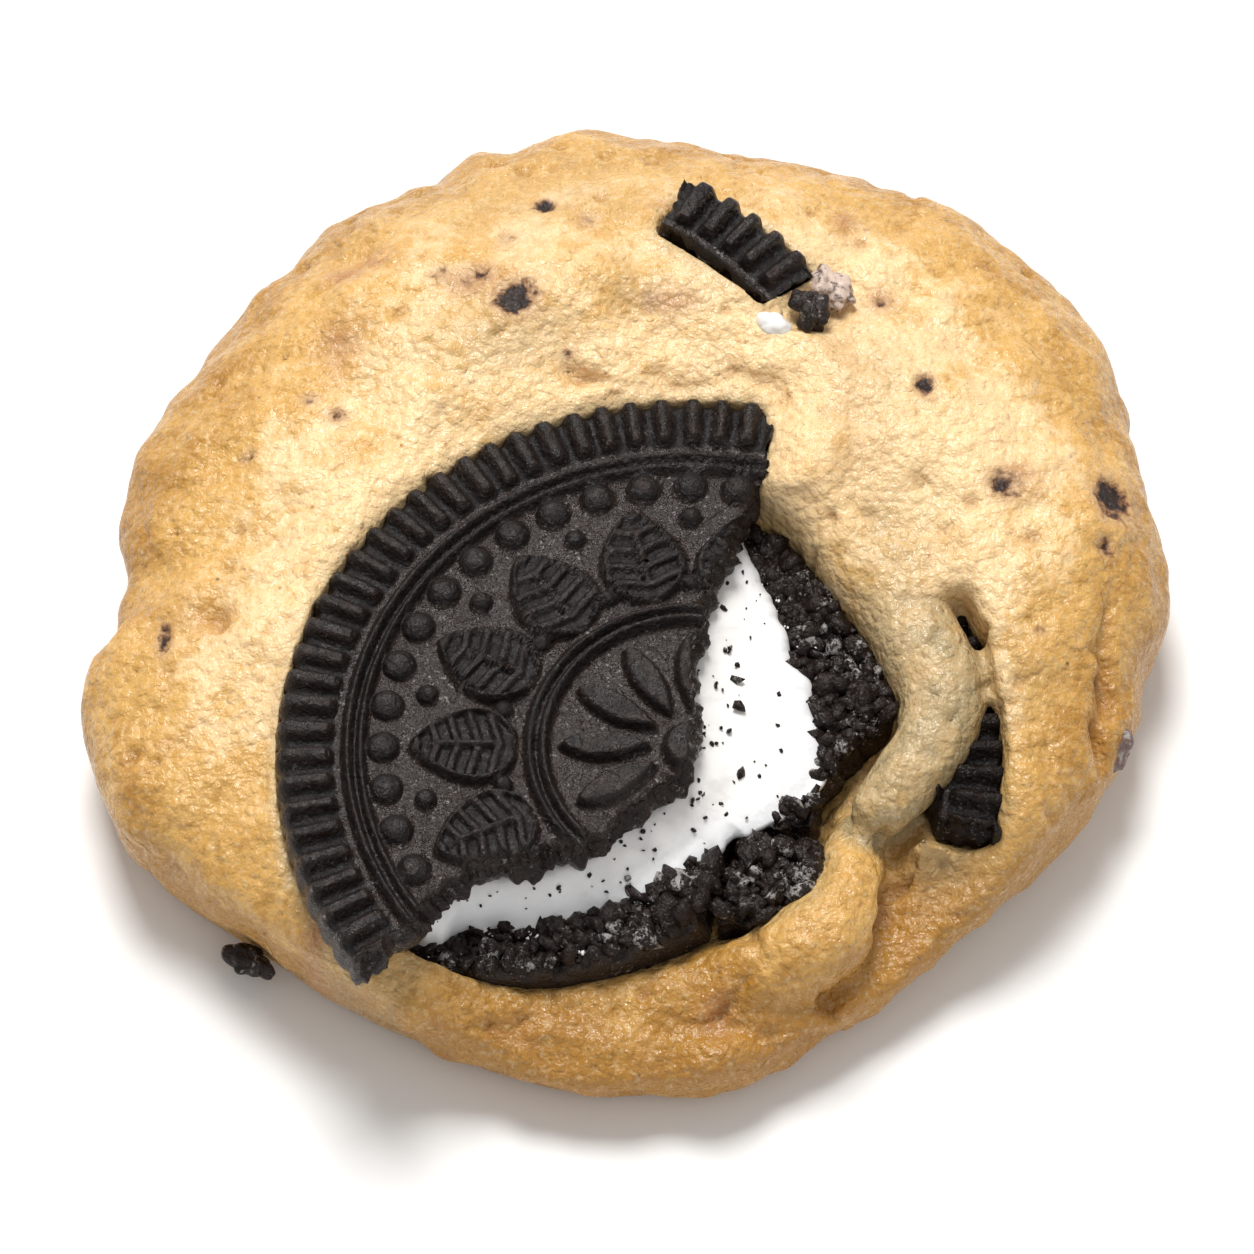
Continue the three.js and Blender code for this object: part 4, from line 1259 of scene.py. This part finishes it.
@dataclass(frozen=True)
class Dough:
    """The baked dough: a low dome with a flat foot, a bowl for the biscuit and folds pressed against it."""

    radius: float = 28.9
    height: float = 13.9
    foot_inset: float = 2.6
    widest: float = 5.0
    widest_rise: float = 2.6
    widest_bearing: float = 236.0
    widest_spread: float = 26.0
    shoulder: float = 2.6
    crown: float = 2.2
    bank: Bank = Bank()
    wafer_proud: float = 0.55
    wafer_slope: float = 0.34
    columns: int = 640
    foot_rows: int = 30
    side_rows: int = 24
    rows: int = 210
    voxel: float = 0.31
    pore_count: int = 260
    lobes: tuple[Lobe, ...] = (
        Lobe(0, 18, 0.6), Lobe(44, 30, 3.0), Lobe(97, 18, 1.4), Lobe(150, 18, -0.7), Lobe(180, 5, -1.2),
        Lobe(205, 20, 2.5), Lobe(238, 16, 0.1), Lobe(270, 18, 0.8), Lobe(310, 22, -1.6), Lobe(96, 6, 0.35),
        Lobe(104, 1.6, -0.45), Lobe(112, 1.6, -0.5), Lobe(124, 5, 0.3),
    )
    mounds: tuple[Spot, ...] = (
        Spot(-22, -14, 6, 10, -0.4), Spot(10, 4.5, 4, 3.5, 0.4), Spot(-5, 16, 13, 6, 1.4),
        Spot(8, 18, 6, 5, 0.5), Spot(13, -4, 9, 9, -2.2), Spot(22, 4, 7, 9, 1.2),
        Spot(17, -21, 5, 4.5, -1.6), Spot(16.6, -18.6, 2.4, 2.2, -1.3), Spot(18.7, -17.9, 2.2, 2.0, -1.2),
        Spot(11.5, 15.9, 1.8, 1.9, -0.9), Spot(9.9, 14.2, 1.6, 1.5, -0.9), Spot(8.2, 13.4, 1.4, 1.1, -0.6),
        Spot(-9.5, 14.5, 3.2, 2.2, -0.5), Spot(-14.5, 6.5, 2.6, 4.5, -0.5), Spot(10.5, 10.2, 3.6, 2.0, 0.5),
    )
    bowl: tuple[Point2, ...] = (
        (-12, -21.5), (-7, -23.4), (-3.6, -23.8), (0, -23.2), (3.5, -22), (6.5, -20.6), (9.8, -20),
        (10.4, -16.5), (11.2, -13.8), (14.3, -9.6), (14.6, -8.4), (13, -5), (10.8, -1.2), (8.6, 1.2),
        (6.2, 2.7), (0, -6),
    )
    bowl_level: float = 5.0
    bowl_back_level: float = 8.2
    bowl_reach: float = 2.6
    dips: tuple[Dip, ...] = (SLIVER, CLEFT, UNDER_FOLDS)
    grooves: tuple[Groove, ...] = (
        Groove(
            ((-3.4, 10.3, 13), (-1.9, 9.9, 13), (0.4, 9.2, 13), (1.5, 9.9, 13), (3.8, 9.7, 13)),
            width=0.34, depth=1.0,
        ),
        Groove(((3.8, 9.7, 13), (5.8, 9.9, 13), (7.9, 9.7, 13), (8.8, 8.4, 13)), 0.34, 1.0),
        Groove(((12.0, 13.0, 13), (12.4, 8.5, 12.6), (12.8, 4.1, 12)), 1.3, 0.5),
        Groove(((13.2, -14.9, 7.6), (13.6, -15.9, 7.6), (14.2, -16.8, 7.4), (15.0, -17.4, 7.2)), 0.38, 1.1),
        Groove(
            ((25.8, 3.5, 9.3), (26.4, 0.3, 9), (26.4, -3.3, 8.6), (26.2, -8.3, 8), (25.9, -11.3, 7.2)),
            width=0.5, depth=1.7,
        ),
        Groove(((-30, -2.2, 6), (-27, -3.4, 9), (-23, -5, 11)), 1.4, 0.9),
        Groove(
            ((14.6, -18.5, 6.2), (13.9, -20.9, 5.7), (11.6, -23.2, 5.2), (9.1, -24.2, 5.2), (6.8, -24, 5.8)),
            width=0.5, depth=1.5,
        ),
        Groove(((9.1, -24, 5), (11.1, -25.1, 4.2), (12, -24.1, 4.2)), 0.4, 1.1),
        Groove(
            ((6.7, -22, 7.4), (7, -23.2, 7), (6.8, -24.2, 6.2), (5.6, -25.2, 5.2), (5, -25.9, 4.8)),
            width=0.38, depth=1.1,
        ),
        Groove(((-5.8, -26.3, 5.2), (-5.4, -27.2, 4)), 0.4, 0.6),
        Groove(
            ((-12.8, -25.1, 4), (-9.6, -26.4, 3.8), (-5.8, -27, 3.7), (-2.7, -28.5, 2.6), (0, -29, 2.4)),
            width=0.55, depth=0.9,
        ),
        Groove(((2.5, -26.5, 5), (5.4, -26.8, 4.6), (8.4, -26.4, 4), (10.4, -26.8, 3)), 0.7, 0.5),
    )
    blends: tuple[Spot, ...] = (Spot(13.5, 2, 4, 4, 0.55), Spot(3, -25, 5, 2.0, 0.5))
    greasy: tuple[Spot, ...] = (
        Spot(14.5, -2.5, 3.2, 5.5, 0.55), Spot(17.5, -16.8, 3.0, 2.6, 0.7), Spot(14.0, 9.5, 3.0, 4.0, 0.22),
        Spot(2.0, 15.0, 3.5, 2.0, 0.26), Spot(-8.0, 12.0, 4.5, 2.5, 0.40),
        Spot(-4.0, 22.5, 13.0, 4.5, 0.26), Spot(20.5, -8.0, 2.0, 3.5, 0.36),
        Spot(12.6, -14.2, 1.4, 2.0, 0.9),
    )
    toffees: tuple[Spot, ...] = (
        Spot(-15.9, 17.3, 1.2, 0.9, 1.0), Spot(-14.2, 18.0, 1.2, 0.8, 1.0),
        Spot(-16.0, 12.2, 1.3, 1.9, 0.75), Spot(-8.6, 15.6, 2.0, 1.2, 0.75), Spot(2.6, 14.4, 1.6, 0.7, 0.8),
        Spot(2.2, 21.4, 1.2, 0.7, 0.5), Spot(4.8, -26.0, 0.8, 1.0, 0.9), Spot(-16.7, -23.4, 0.7, 0.9, 0.9),
        Spot(14.2, 15.3, 1.0, 0.9, 0.9), Spot(12.3, 21.0, 0.8, 1.0, 0.9), Spot(21.6, 3.9, 1.3, 0.8, 0.8),
    )
    stains: tuple[Spot, ...] = (
        Spot(-6.2, 14.3, 1.35, 1.35, 1.0), Spot(-8.4, 16.0, 1.3, 1.0, 0.62),
        Spot(-10.4, 16.3, 0.8, 0.7, 0.55), Spot(-4.6, 21.6, 0.8, 0.7, 0.75),
        Spot(-2.2, 20.2, 0.8, 0.8, 0.5), Spot(-6.8, 19.0, 0.7, 0.7, 0.5), Spot(1.4, 14.6, 0.7, 0.6, 0.55),
        Spot(16.5, 9.2, 0.7, 0.9, 0.8), Spot(20.8, 3.1, 1.1, 1.0, 0.85), Spot(26.9, 3.4, 1.2, 1.7, 0.95),
        Spot(26.4, 0.2, 0.6, 0.7, 0.7), Spot(14.2, 15.2, 0.6, 0.6, 0.6), Spot(-25.4, -5.6, 0.5, 1.3, 0.75),
        Spot(-16.1, 7.5, 0.8, 0.7, 0.68), Spot(-17.6, 8.7, 0.7, 0.5, 0.56), Spot(22.6, -5.4, 0.5, 0.5, 0.5),
        Spot(-21.0, 5.5, 0.6, 0.45, 0.55), Spot(-3.2, 11.3, 0.6, 0.4, 0.55),
    )

    def outline(self, bearing: Array) -> Array:
        """Radius at a bearing: the mean radius plus a bell for each lobe."""
        radius = np.full(np.shape(bearing), self.radius)
        for lobe in self.lobes:
            radius += lobe.swell * bell(turn_between(lobe.bearing, bearing) / lobe.spread)
        return radius

    def body(self) -> Surface:
        """The dome as rings round the middle.

        Below the widest place a ring at angle a is set in by (1 - sin a) of the foot's inset and rises as
        1 - cos a. Above it the radius is cos(a)^(2/shoulder) of the outline and the height sin(a)^(2/crown)
        of the rest, plus the mounds. The bowl and the seats of the biscuit are then let into it.
        """
        bearing = np.linspace(0, 360, self.columns, endpoint=False)
        around = np.stack([np.cos(np.radians(bearing)), np.sin(np.radians(bearing))], axis=1)
        outline = self.outline(bearing)
        banked = self.bank.share(bearing)
        rise = self.widest_rise * bell(turn_between(self.widest_bearing, bearing) / self.widest_spread)
        low = self.widest + rise + (self.bank.widest - self.widest - rise) * banked

        foot = np.linspace(0.02, 1, self.foot_rows)[:, None] * (outline - self.foot_inset)
        a = np.radians(np.linspace(3, 87, self.side_rows))[:, None]
        side = outline - self.foot_inset * (1 - np.sin(a))
        side_z = low * (1 - np.cos(a))
        a = np.radians(np.linspace(0, 89.7, self.rows))[:, None]
        share = np.cos(a) ** (2 / self.shoulder)
        top = outline * share
        xy = top[..., None] * around
        crown = self.height + (self.bank.crown - self.height) * banked * smooth(0.4, 0.7, share)
        dome = low + (crown - low) * np.sin(a) ** (2 / self.crown)
        dome = dome + sum(m.rise * m.share(xy) for m in self.mounds) * smooth(0, 0.5, a)
        top_z = self.seated(xy, self.hollowed(xy, dome))
        radius = np.vstack([foot, side, top])
        z = np.vstack([np.zeros_like(foot), side_z, top_z])
        rings = np.dstack([radius[..., None] * around, z])
        return Surface.of_rings(np.zeros(3), rings, np.array([0, 0, top_z[-1].mean()]))

    def hollowed(self, xy: Array, dome: Array) -> Array:
        """The dome's height with the bowl and the dips let into it.

        In the bowl the height is the bowl's level plus sin(away)^0.8 of what the dome rises above that, where
        away goes from 0 at its outline to a quarter turn at its reach. Beside the upper wafer the surface
        starts a little below the wafer's face and rises with the distance from it.

        Args:
            xy: Places in plan, (..., 2).
            dome: Height of the dome there.

        Returns:
            Heights in mm.
        """
        away = np.clip(beyond(xy, np.array(self.bowl)) / self.bowl_reach, 0, 1)
        level = self.bowl_level + (self.bowl_back_level - self.bowl_level) * smooth(-13, -7, xy[..., 1])
        z = np.minimum(dome, level + (dome - level) * np.sin(away * np.pi / 2) ** 0.8)
        for dip in self.dips:
            z = dip.sunk(xy, z)
        off_wafer = np.maximum(beyond(xy, TOP_WAFER.region()), 0)
        return np.minimum(z, TOP_WAFER.topside(xy) - self.wafer_proud + self.wafer_slope * off_wafer)

    def seated(self, xy: Array, z: Array) -> Array:
        """Lowers the surface to the underside of each biscuit piece, inside its outline."""
        for piece in FRAGMENTS:
            out = beyond(xy, piece.region())
            floor = piece.underside(xy) - 0.1
            lowered = floor + (z - floor) * smooth(-0.12, 0.12, out)
            z = np.where(z > floor, lowered, z)
        return z

    def surface(self) -> Surface:
        """Fuses the dome and the folds, softens the join and adds lumps, wrinkles, crumb and pores."""
        skin = Surface.joined([self.body(), *(fold.surface() for fold in FOLDS)]).fused(self.voxel)
        skin.relaxed(5, np.clip(0.12 + sum(m.rise * m.share(skin.points) for m in self.blends), 0, 0.7))
        xyz, normal = skin.points, skin.normals()
        p = xyz + CRUST_SHIFT
        near = self.near_biscuit(xyz)
        free = 1 - 0.75 * near
        fold = np.maximum(*(each.share(xyz, 3.4, 1.8) for each in FOLDS))
        lumps = 0.62 * layered(p, 7.0, 2, 3) + 0.50 * layered(p, 3.4, 2, 5)
        wrinkles = bell(noise(p, 5.2, 71) / 0.07) * smooth(0.0, 0.6, noise(p, 9, 72)) * 0.24
        crumb = 0.10 * layered(p, 1.2, 2, 8) + 0.09 * (grains(p, 1.7, 10) - 0.45)
        low_front = smooth(-14, -25, xyz[:, 1]) * smooth(9, 4, xyz[:, 2])
        crags = low_front * (0.60 * (grains(p, 3.4, 22) - 0.45) + 0.12 * layered(p, 1.6, 2, 21))
        pores = self.pores(xyz)
        sunk = sum(groove.sink(xyz) for groove in self.grooves)
        shift = (lumps * (1 - 0.5 * fold) + crags * (1 - fold) - wrinkles * (1 - fold)) * free
        shift = shift + crumb * (0.5 + 0.5 * free) * (1 - 0.4 * fold) - pores - sunk
        shift = shift - 0.30 * smooth(0.40, 0.62, strongest(self.stains, xyz))
        xyz = xyz + normal * (shift * smooth(0.2, 2.2, xyz[:, 2]))[:, None]
        xyz[:, 2] = np.maximum(xyz[:, 2], 0)
        # Pores, creases and wrinkles, which the finish darkens as painted shade.
        hollows = pores + 0.5 * sunk + 0.6 * wrinkles
        return Surface(xyz, skin.faces, self.colouring(xyz, normal, crumb - crags, hollows, near))

    def near_biscuit(self, xyz: Array) -> Array:
        """1 at the biscuit pieces and 0 from 1.2 mm away."""
        near = np.zeros(len(xyz))
        for piece in FRAGMENTS:
            near = np.maximum(near, smooth(1.2, 0.2, np.maximum(beyond(xyz[:, :2], piece.region()), 0)))
        return near

    def pores(self, xyz: Array) -> Array:
        """Depth of the small pores: a pit of its own width and depth at each of many seeded places."""
        draw = np.random.default_rng(5)
        places = draw.uniform(-29, 29, (self.pore_count, 2))
        widths = draw.uniform(0.2, 0.42, self.pore_count)
        depths = draw.uniform(0.1, 0.5, self.pore_count)
        depth = np.zeros(len(xyz))
        for (x, y), width, deep in zip(places, widths, depths):
            close = np.flatnonzero((np.abs(xyz[:, 0] - x) < 1.5) & (np.abs(xyz[:, 1] - y) < 1.5))
            pit = deep * bell(np.hypot(xyz[close, 0] - x, xyz[close, 1] - y) / width)
            depth[close] = np.maximum(depth[close], pit)
        return depth * smooth(2.0, 4.0, xyz[:, 2])

    def colouring(
        self, xyz: Array, normal: Array, crumb: Array, hollows: Array, near: Array
    ) -> dict[str, Array]:
        """Values that the finish mixes its colours by.

        Args:
            xyz: Points in mm.
            normal: Their normals before the relief.
            crumb: Height of the crumb in mm.
            hollows: Depth of the pores and creases in mm.
            near: Nearness to the biscuit.

        Returns:
            bake_and_shade, grease_and_shade, toffee, cocoa and hollow, each about 0..1; hollow is painted
            shade in pores and creases.
        """
        p = xyz + BAKE_SHIFT
        # Real browning mixed with painted shade: darker low down, at the edge and on slopes facing down; also
        # darker towards the right and the back, following the crumb and noise.
        low = 0.30 * smooth(12.8, 8.5, xyz[:, 2]) + 0.78 * smooth(8.5, 2.5, xyz[:, 2])
        out = np.hypot(xyz[:, 0], xyz[:, 1]) / self.outline(np.degrees(np.arctan2(xyz[:, 1], xyz[:, 0])))
        bake_and_shade = low + 0.50 * smooth(0.62, 0.97, out) + 0.24 * layered(p, 6, 3, 41) + 0.5 * crumb
        bake_and_shade += 0.10 * smooth(20, 27, xyz[:, 0]) + 0.22 * smooth(8, 22, xyz[:, 1] - 0.6 * xyz[:, 0])
        bake_and_shade += 0.3 * smooth(0.3, -0.5, normal[:, 2]) - 0.12 * near
        # Painted shade along the right fold, mixed in with the grease.
        painted_fold_shade = 1.2 * RIGHT_FOLD.share(xyz, 3.4, 2.0)
        grease_and_shade = np.maximum(np.maximum(0.5 * near, painted_fold_shade), strongest(self.greasy, xyz))
        grease_and_shade = grease_and_shade * (0.85 + 0.5 * layered(p, 1.8, 3, 43))
        return {
            "bake_and_shade": bake_and_shade,
            "grease_and_shade": np.clip(grease_and_shade, 0, 1),
            "toffee": strongest(self.toffees, xyz),
            "cocoa": strongest(self.stains, xyz),
            "hollow": np.clip(1.5 * hollows + smooth(0.02, -0.12, crumb) * 0.4, 0, 1),
        }

    def build(self, finish: DoughFinish) -> bpy.types.Object:
        """Makes and dresses the dough."""
        return finished(self.surface(), "dough", Slot.DOUGH, finish.material(), "dough")


# ---- Loose crumbs ----


@dataclass(frozen=True)
class Crumbs:
    """Loose crumbs as one joined mesh, each a twenty-sided grain stretched, dented and turned its own way."""

    seed: int

    def grain(self) -> tuple[Array, Array]:
        """Points and faces of a twenty-sided ball: the corners of three crossed golden rectangles."""
        g = (1 + math.sqrt(5)) / 2
        corners = [(s * 1, t * g, 0) for s in (-1, 1) for t in (-1, 1)]
        points = np.array([np.roll(c, k) for k in range(3) for c in corners], float) / math.hypot(1, g)
        near = np.linalg.norm(points[:, None] - points[None], axis=-1) < 1.1
        triples = combinations(range(len(points)), 3)
        faces = np.array([t for t in triples if all(near[pair] for pair in combinations(t, 2))])
        middle = points[faces].mean(axis=1)
        a, b, c = (points[faces[:, k]] for k in range(3))
        inward = np.sum(np.cross(b - a, c - a) * middle, axis=1) < 0
        faces[inward] = faces[inward][:, ::-1]
        return points, faces

    def surface(self, at: Array, size: Array) -> Surface:
        """Crumbs at places in mm, of the given sizes across.

        Args:
            at: Middles, (n, 3).
            size: Sizes, (n,).

        Returns:
            The joined surface.
        """
        draw = np.random.default_rng(self.seed)
        points, faces = self.grain()
        count = len(at)
        turn = np.linalg.qr(draw.normal(size=(count, 3, 3)))[0]
        turn *= np.sign(np.linalg.det(turn))[:, None, None]
        dented = points[None] * (1 + 0.45 * draw.uniform(-1, 1, (count, 12, 1)))
        dented = dented * draw.uniform(0.5, 1.4, (count, 1, 3)) * size[:, None, None] / 2
        every = np.einsum("nij,nkj->nki", turn, dented) + at[:, None]
        starts = 12 * np.arange(count)[:, None, None]
        made = Surface(every.reshape(-1, 3), [(faces[None] + starts).reshape(-1, 3)])
        made.values = {
            "proud": np.zeros(count * 12),
            "broken": np.repeat(draw.uniform(0, 1, count), 12),
            "dust": np.repeat(0.5 * draw.uniform(0, 1, count) ** 2, 12),
        }
        return made


@dataclass(frozen=True)
class Scatter:
    """Where the crumbs lie: specks on the cream, and granules and sugar on the margin of the lower wafer."""

    filling: Filling
    specks: int = 95
    granules: int = 1600
    sugar_grains: int = 200
    tries: int = 16000

    def off_cream(self, xy: Array) -> Array:
        """Distance from the cream in plan, below 0 on it."""
        return beyond(xy, self.filling.corners(0.3) + np.array(BASE_WAFER.middle[:2]))

    def on_cream(self) -> tuple[Array, Array]:
        """Specks on the cream: a few large ones and many small ones near the wafer's broken edge."""
        draw = np.random.default_rng(21)
        large = np.array(
            [
                (6.1, -7.5, 0.62), (6.2, -9.2, 0.85), (5.6, -10.6, 0.4), (6.2, -13.1, 0.55),
                (7.2, -13.2, 0.25), (5.3, -3.2, 0.4), (6.4, -0.8, 0.28), (5.2, -1.0, 0.25),
                (5.6, -5.8, 0.24), (3.6, -16.6, 0.3), (1.5, -17.9, 0.3), (0.0, -19.4, 0.35),
            ]
        )
        tries = draw.uniform((-12, -26), (13, 4), (9000, 2))
        out = beyond(tries, TOP_WAFER.region())
        keep = (self.off_cream(tries) < -0.3) & (out > 0.15)
        keep &= draw.uniform(size=len(tries)) < np.exp(-out / 1.6) * 0.35
        small = tries[keep][: self.specks]
        xy = np.vstack([large[:, :2], small])
        size = np.concatenate([large[:, 2], draw.uniform(0.09, 0.28, len(small))])
        z = self.filling.height(xy) + 0.25 * size
        return np.column_stack([xy, z]), size

    def on_margin(self) -> tuple[Array, Array]:
        """Granules on the bare margin of the lower wafer, round the cream."""
        draw = np.random.default_rng(22)
        tries = draw.uniform((-12, -26), (17, 7), (self.tries, 2))
        on_chunk = beyond(tries, BASE_CHUNK.region()) < -0.3
        on_wafer = (beyond(tries, BASE_WAFER.region()) < -0.25) | on_chunk
        clear = beyond(tries, TOP_WAFER.region()) > -1.0
        keep = on_wafer & clear & (self.off_cream(tries) > draw.uniform(-0.5, -0.1, len(tries)))
        xy, on_chunk = tries[keep][: self.granules], on_chunk[keep][: self.granules]
        size = 0.25 + 1.25 * draw.uniform(0, 1, len(xy)) ** 2.2
        top = np.where(on_chunk, BASE_CHUNK.topside(xy), BASE_WAFER.topside(xy))
        return np.column_stack([xy, top + 0.02 + 0.16 * size]), size

    def sugar(self) -> tuple[Array, Array]:
        """Grains of the filling strewn over the margin, most of them close to the cream."""
        draw = np.random.default_rng(23)
        tries = draw.uniform((-12, -26), (17, 7), (self.tries, 2))
        off_cream = self.off_cream(tries)
        on_wafer = beyond(tries, BASE_WAFER.region()) < -0.25
        near = draw.uniform(size=len(tries)) < 0.8 * np.exp(-np.maximum(off_cream, 0) / 0.8)
        keep = on_wafer & near & (off_cream > -0.1) & (beyond(tries, TOP_WAFER.region()) > 0.2)
        xy = tries[keep][: self.sugar_grains]
        size = draw.uniform(0.08, 0.28, len(xy))
        return np.column_stack([xy, BASE_WAFER.topside(xy) + 0.30 + 0.2 * size]), size

    def build(self, biscuit: BiscuitFinish, cream: CreamFinish) -> None:
        """Makes and dresses the dark crumbs and the sugar."""
        for name, spots, seed, slot, finish in (
            ("cream_crumbs", self.on_cream(), 31, Slot.BISCUIT, biscuit),
            ("margin_crumbs", self.on_margin(), 32, Slot.BISCUIT, biscuit),
            ("sugar_crumbs", self.sugar(), 33, Slot.CREAM, cream),
        ):
            ending = "biscuit" if slot is Slot.BISCUIT else "filling"
            finished(Crumbs(seed).surface(*spots), name, slot, finish.material(f"{name}_{ending}"))


# ---- Studio ----


@dataclass(frozen=True)
class Lamp:
    """A square soft light that faces the cookie."""

    name: str
    at: Point3
    size: float
    watts: float
    colour: Colour = (1.0, 1.0, 1.0)

    def hang(self) -> None:
        """Hangs the light at its place."""
        lamp = bpy.data.lights.new(self.name, "AREA")
        lamp.size = self.size
        lamp.energy = self.watts
        lamp.color = self.colour
        hung = bpy.data.objects.new(self.name, lamp)
        hung.location = self.at
        hung.rotation_euler = (-Vector(self.at)).to_track_quat("-Z", "Y").to_euler()
        bpy.context.scene.collection.objects.link(hung)


@dataclass(frozen=True)
class Studio:
    """A pale floor, a large soft light from behind and above, soft fill, and the camera."""

    elevation: float = 60.0
    distance: float = 0.38
    target: Point3 = (0.0, -0.0034 + AXIS_Y * MM, 0.008)
    lens: float = 197.5
    floor: Colour = (0.96, 0.96, 0.96)
    floor_reach: float = 3.0
    floor_roughness: float = 0.9
    floor_specular: float = 0.1
    sky: Colour = (1.0, 0.995, 0.985)
    sky_strength: float = 0.42
    lamps: tuple[Lamp, ...] = (
        Lamp("key", (-0.06, 0.29, 0.63), 0.26, 4.5, (1.0, 0.99, 0.97)),
        Lamp("fill", (0.30, -0.40, 0.6), 0.6, 0.6),
        Lamp("edge", (-0.16, 0.62, 0.40), 0.12, 0.6),
    )

    def lay_floor(self) -> None:
        """A wide plain square, just rough enough to hold no reflection."""
        mesh = bpy.data.meshes.new("floor")
        far = self.floor_reach
        corners = [(-far, -far, 0), (far, -far, 0), (far, far, 0), (-far, far, 0)]
        mesh.from_pydata(corners, [], [(0, 1, 2, 3)])
        floor = bpy.data.objects.new("floor", mesh)
        bpy.context.scene.collection.objects.link(floor)
        n = Nodes("floor_pale")
        n.feed("Base Color", self.floor)
        n.feed("Roughness", self.floor_roughness)
        n.feed("Specular IOR Level", self.floor_specular)
        floor.data.materials.append(n.material)

    def set_camera(self) -> None:
        """Looks from the front and above at the target."""
        camera = bpy.data.cameras.new("camera")
        camera.lens = self.lens
        camera.clip_start, camera.clip_end = 0.01, 10
        seen = bpy.data.objects.new("camera", camera)
        rise = math.radians(self.elevation)
        back = Vector((0, -math.cos(rise), math.sin(rise)))
        seen.location = Vector(self.target) + back * self.distance
        seen.rotation_euler = (math.pi / 2 - rise, 0, 0)
        bpy.context.scene.collection.objects.link(seen)
        bpy.context.scene.camera = seen

    def build(self) -> None:
        """Sets up floor, world, lamps and camera."""
        self.lay_floor()
        world = bpy.data.worlds.new("studio")
        world.use_nodes = True
        ground = world.node_tree.nodes["Background"]
        ground.inputs["Color"].default_value = (*self.sky, 1)
        ground.inputs["Strength"].default_value = self.sky_strength
        bpy.context.scene.world = world
        for lamp in self.lamps:
            lamp.hang()
        self.set_camera()
        bpy.context.scene.view_settings.view_transform = "Standard"


def main() -> None:
    logging.basicConfig(level=logging.INFO, format="%(message)s")
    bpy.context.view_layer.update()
    biscuit, cream, dough = BiscuitFinish(), CreamFinish(), DoughFinish()
    # A darker, duller copy of the biscuit for the shard down in the cleft: painted shade.
    shaded = BiscuitFinish(worn_and_sheen=(0.013, 0.008, 0.0065), specular=0.15)
    crumbled = BiscuitFinish(worn_and_sheen=(0.018, 0.011, 0.009), specular=0.22)
    soiled = CreamFinish(white=(0.60, 0.46, 0.38), cool=(0.48, 0.36, 0.30), soil=0.85)
    filmed = BiscuitFinish(dark=(0.15, 0.095, 0.085), worn_and_sheen=(0.24, 0.16, 0.14), crumb=(0.12, 0.07, 0.06))
    Dough().build(dough)
    for piece in FRAGMENTS:
        piece.build(shaded if piece is RIGHT_SHARD else biscuit)
    filling = Filling()
    filling.build(cream)
    for lump, finish in (
        (Lump("back_cream", (11.6, 15.8, 12.4), (2.2, 3.2, 1.7), 20, 157, rough=0.5), soiled),
        (Lump("back_smear", (8.0, 13.1, 13.1), (2.5, 1.5, 1.6), -25, 153), cream),
    ):
        lump.build(Slot.CREAM, finish.material(f"{lump.name}_filling"))
    for lump, finish in (
        (Lump("back_crumb", (10.2, 14.0, 13.3), (2.2, 2.6, 1.7), 0, 159, rough=0.6), biscuit),
        (Lump("left_chip", (-20.6, -21.0, 1.6), (2.8, 1.6, 1.6), -30, 171, rough=0.5), biscuit),
        (Lump("right_chip", (26.4, -9.0, 5.2), (3.2, 4.2, 3.2), 0, 181), filmed),
    ):
        lump.build(Slot.BISCUIT, finish.material(f"{lump.name}_biscuit"))
    Scatter(filling).build(crumbled, cream)
    Studio().build()


if __name__ == "__main__":
    main()
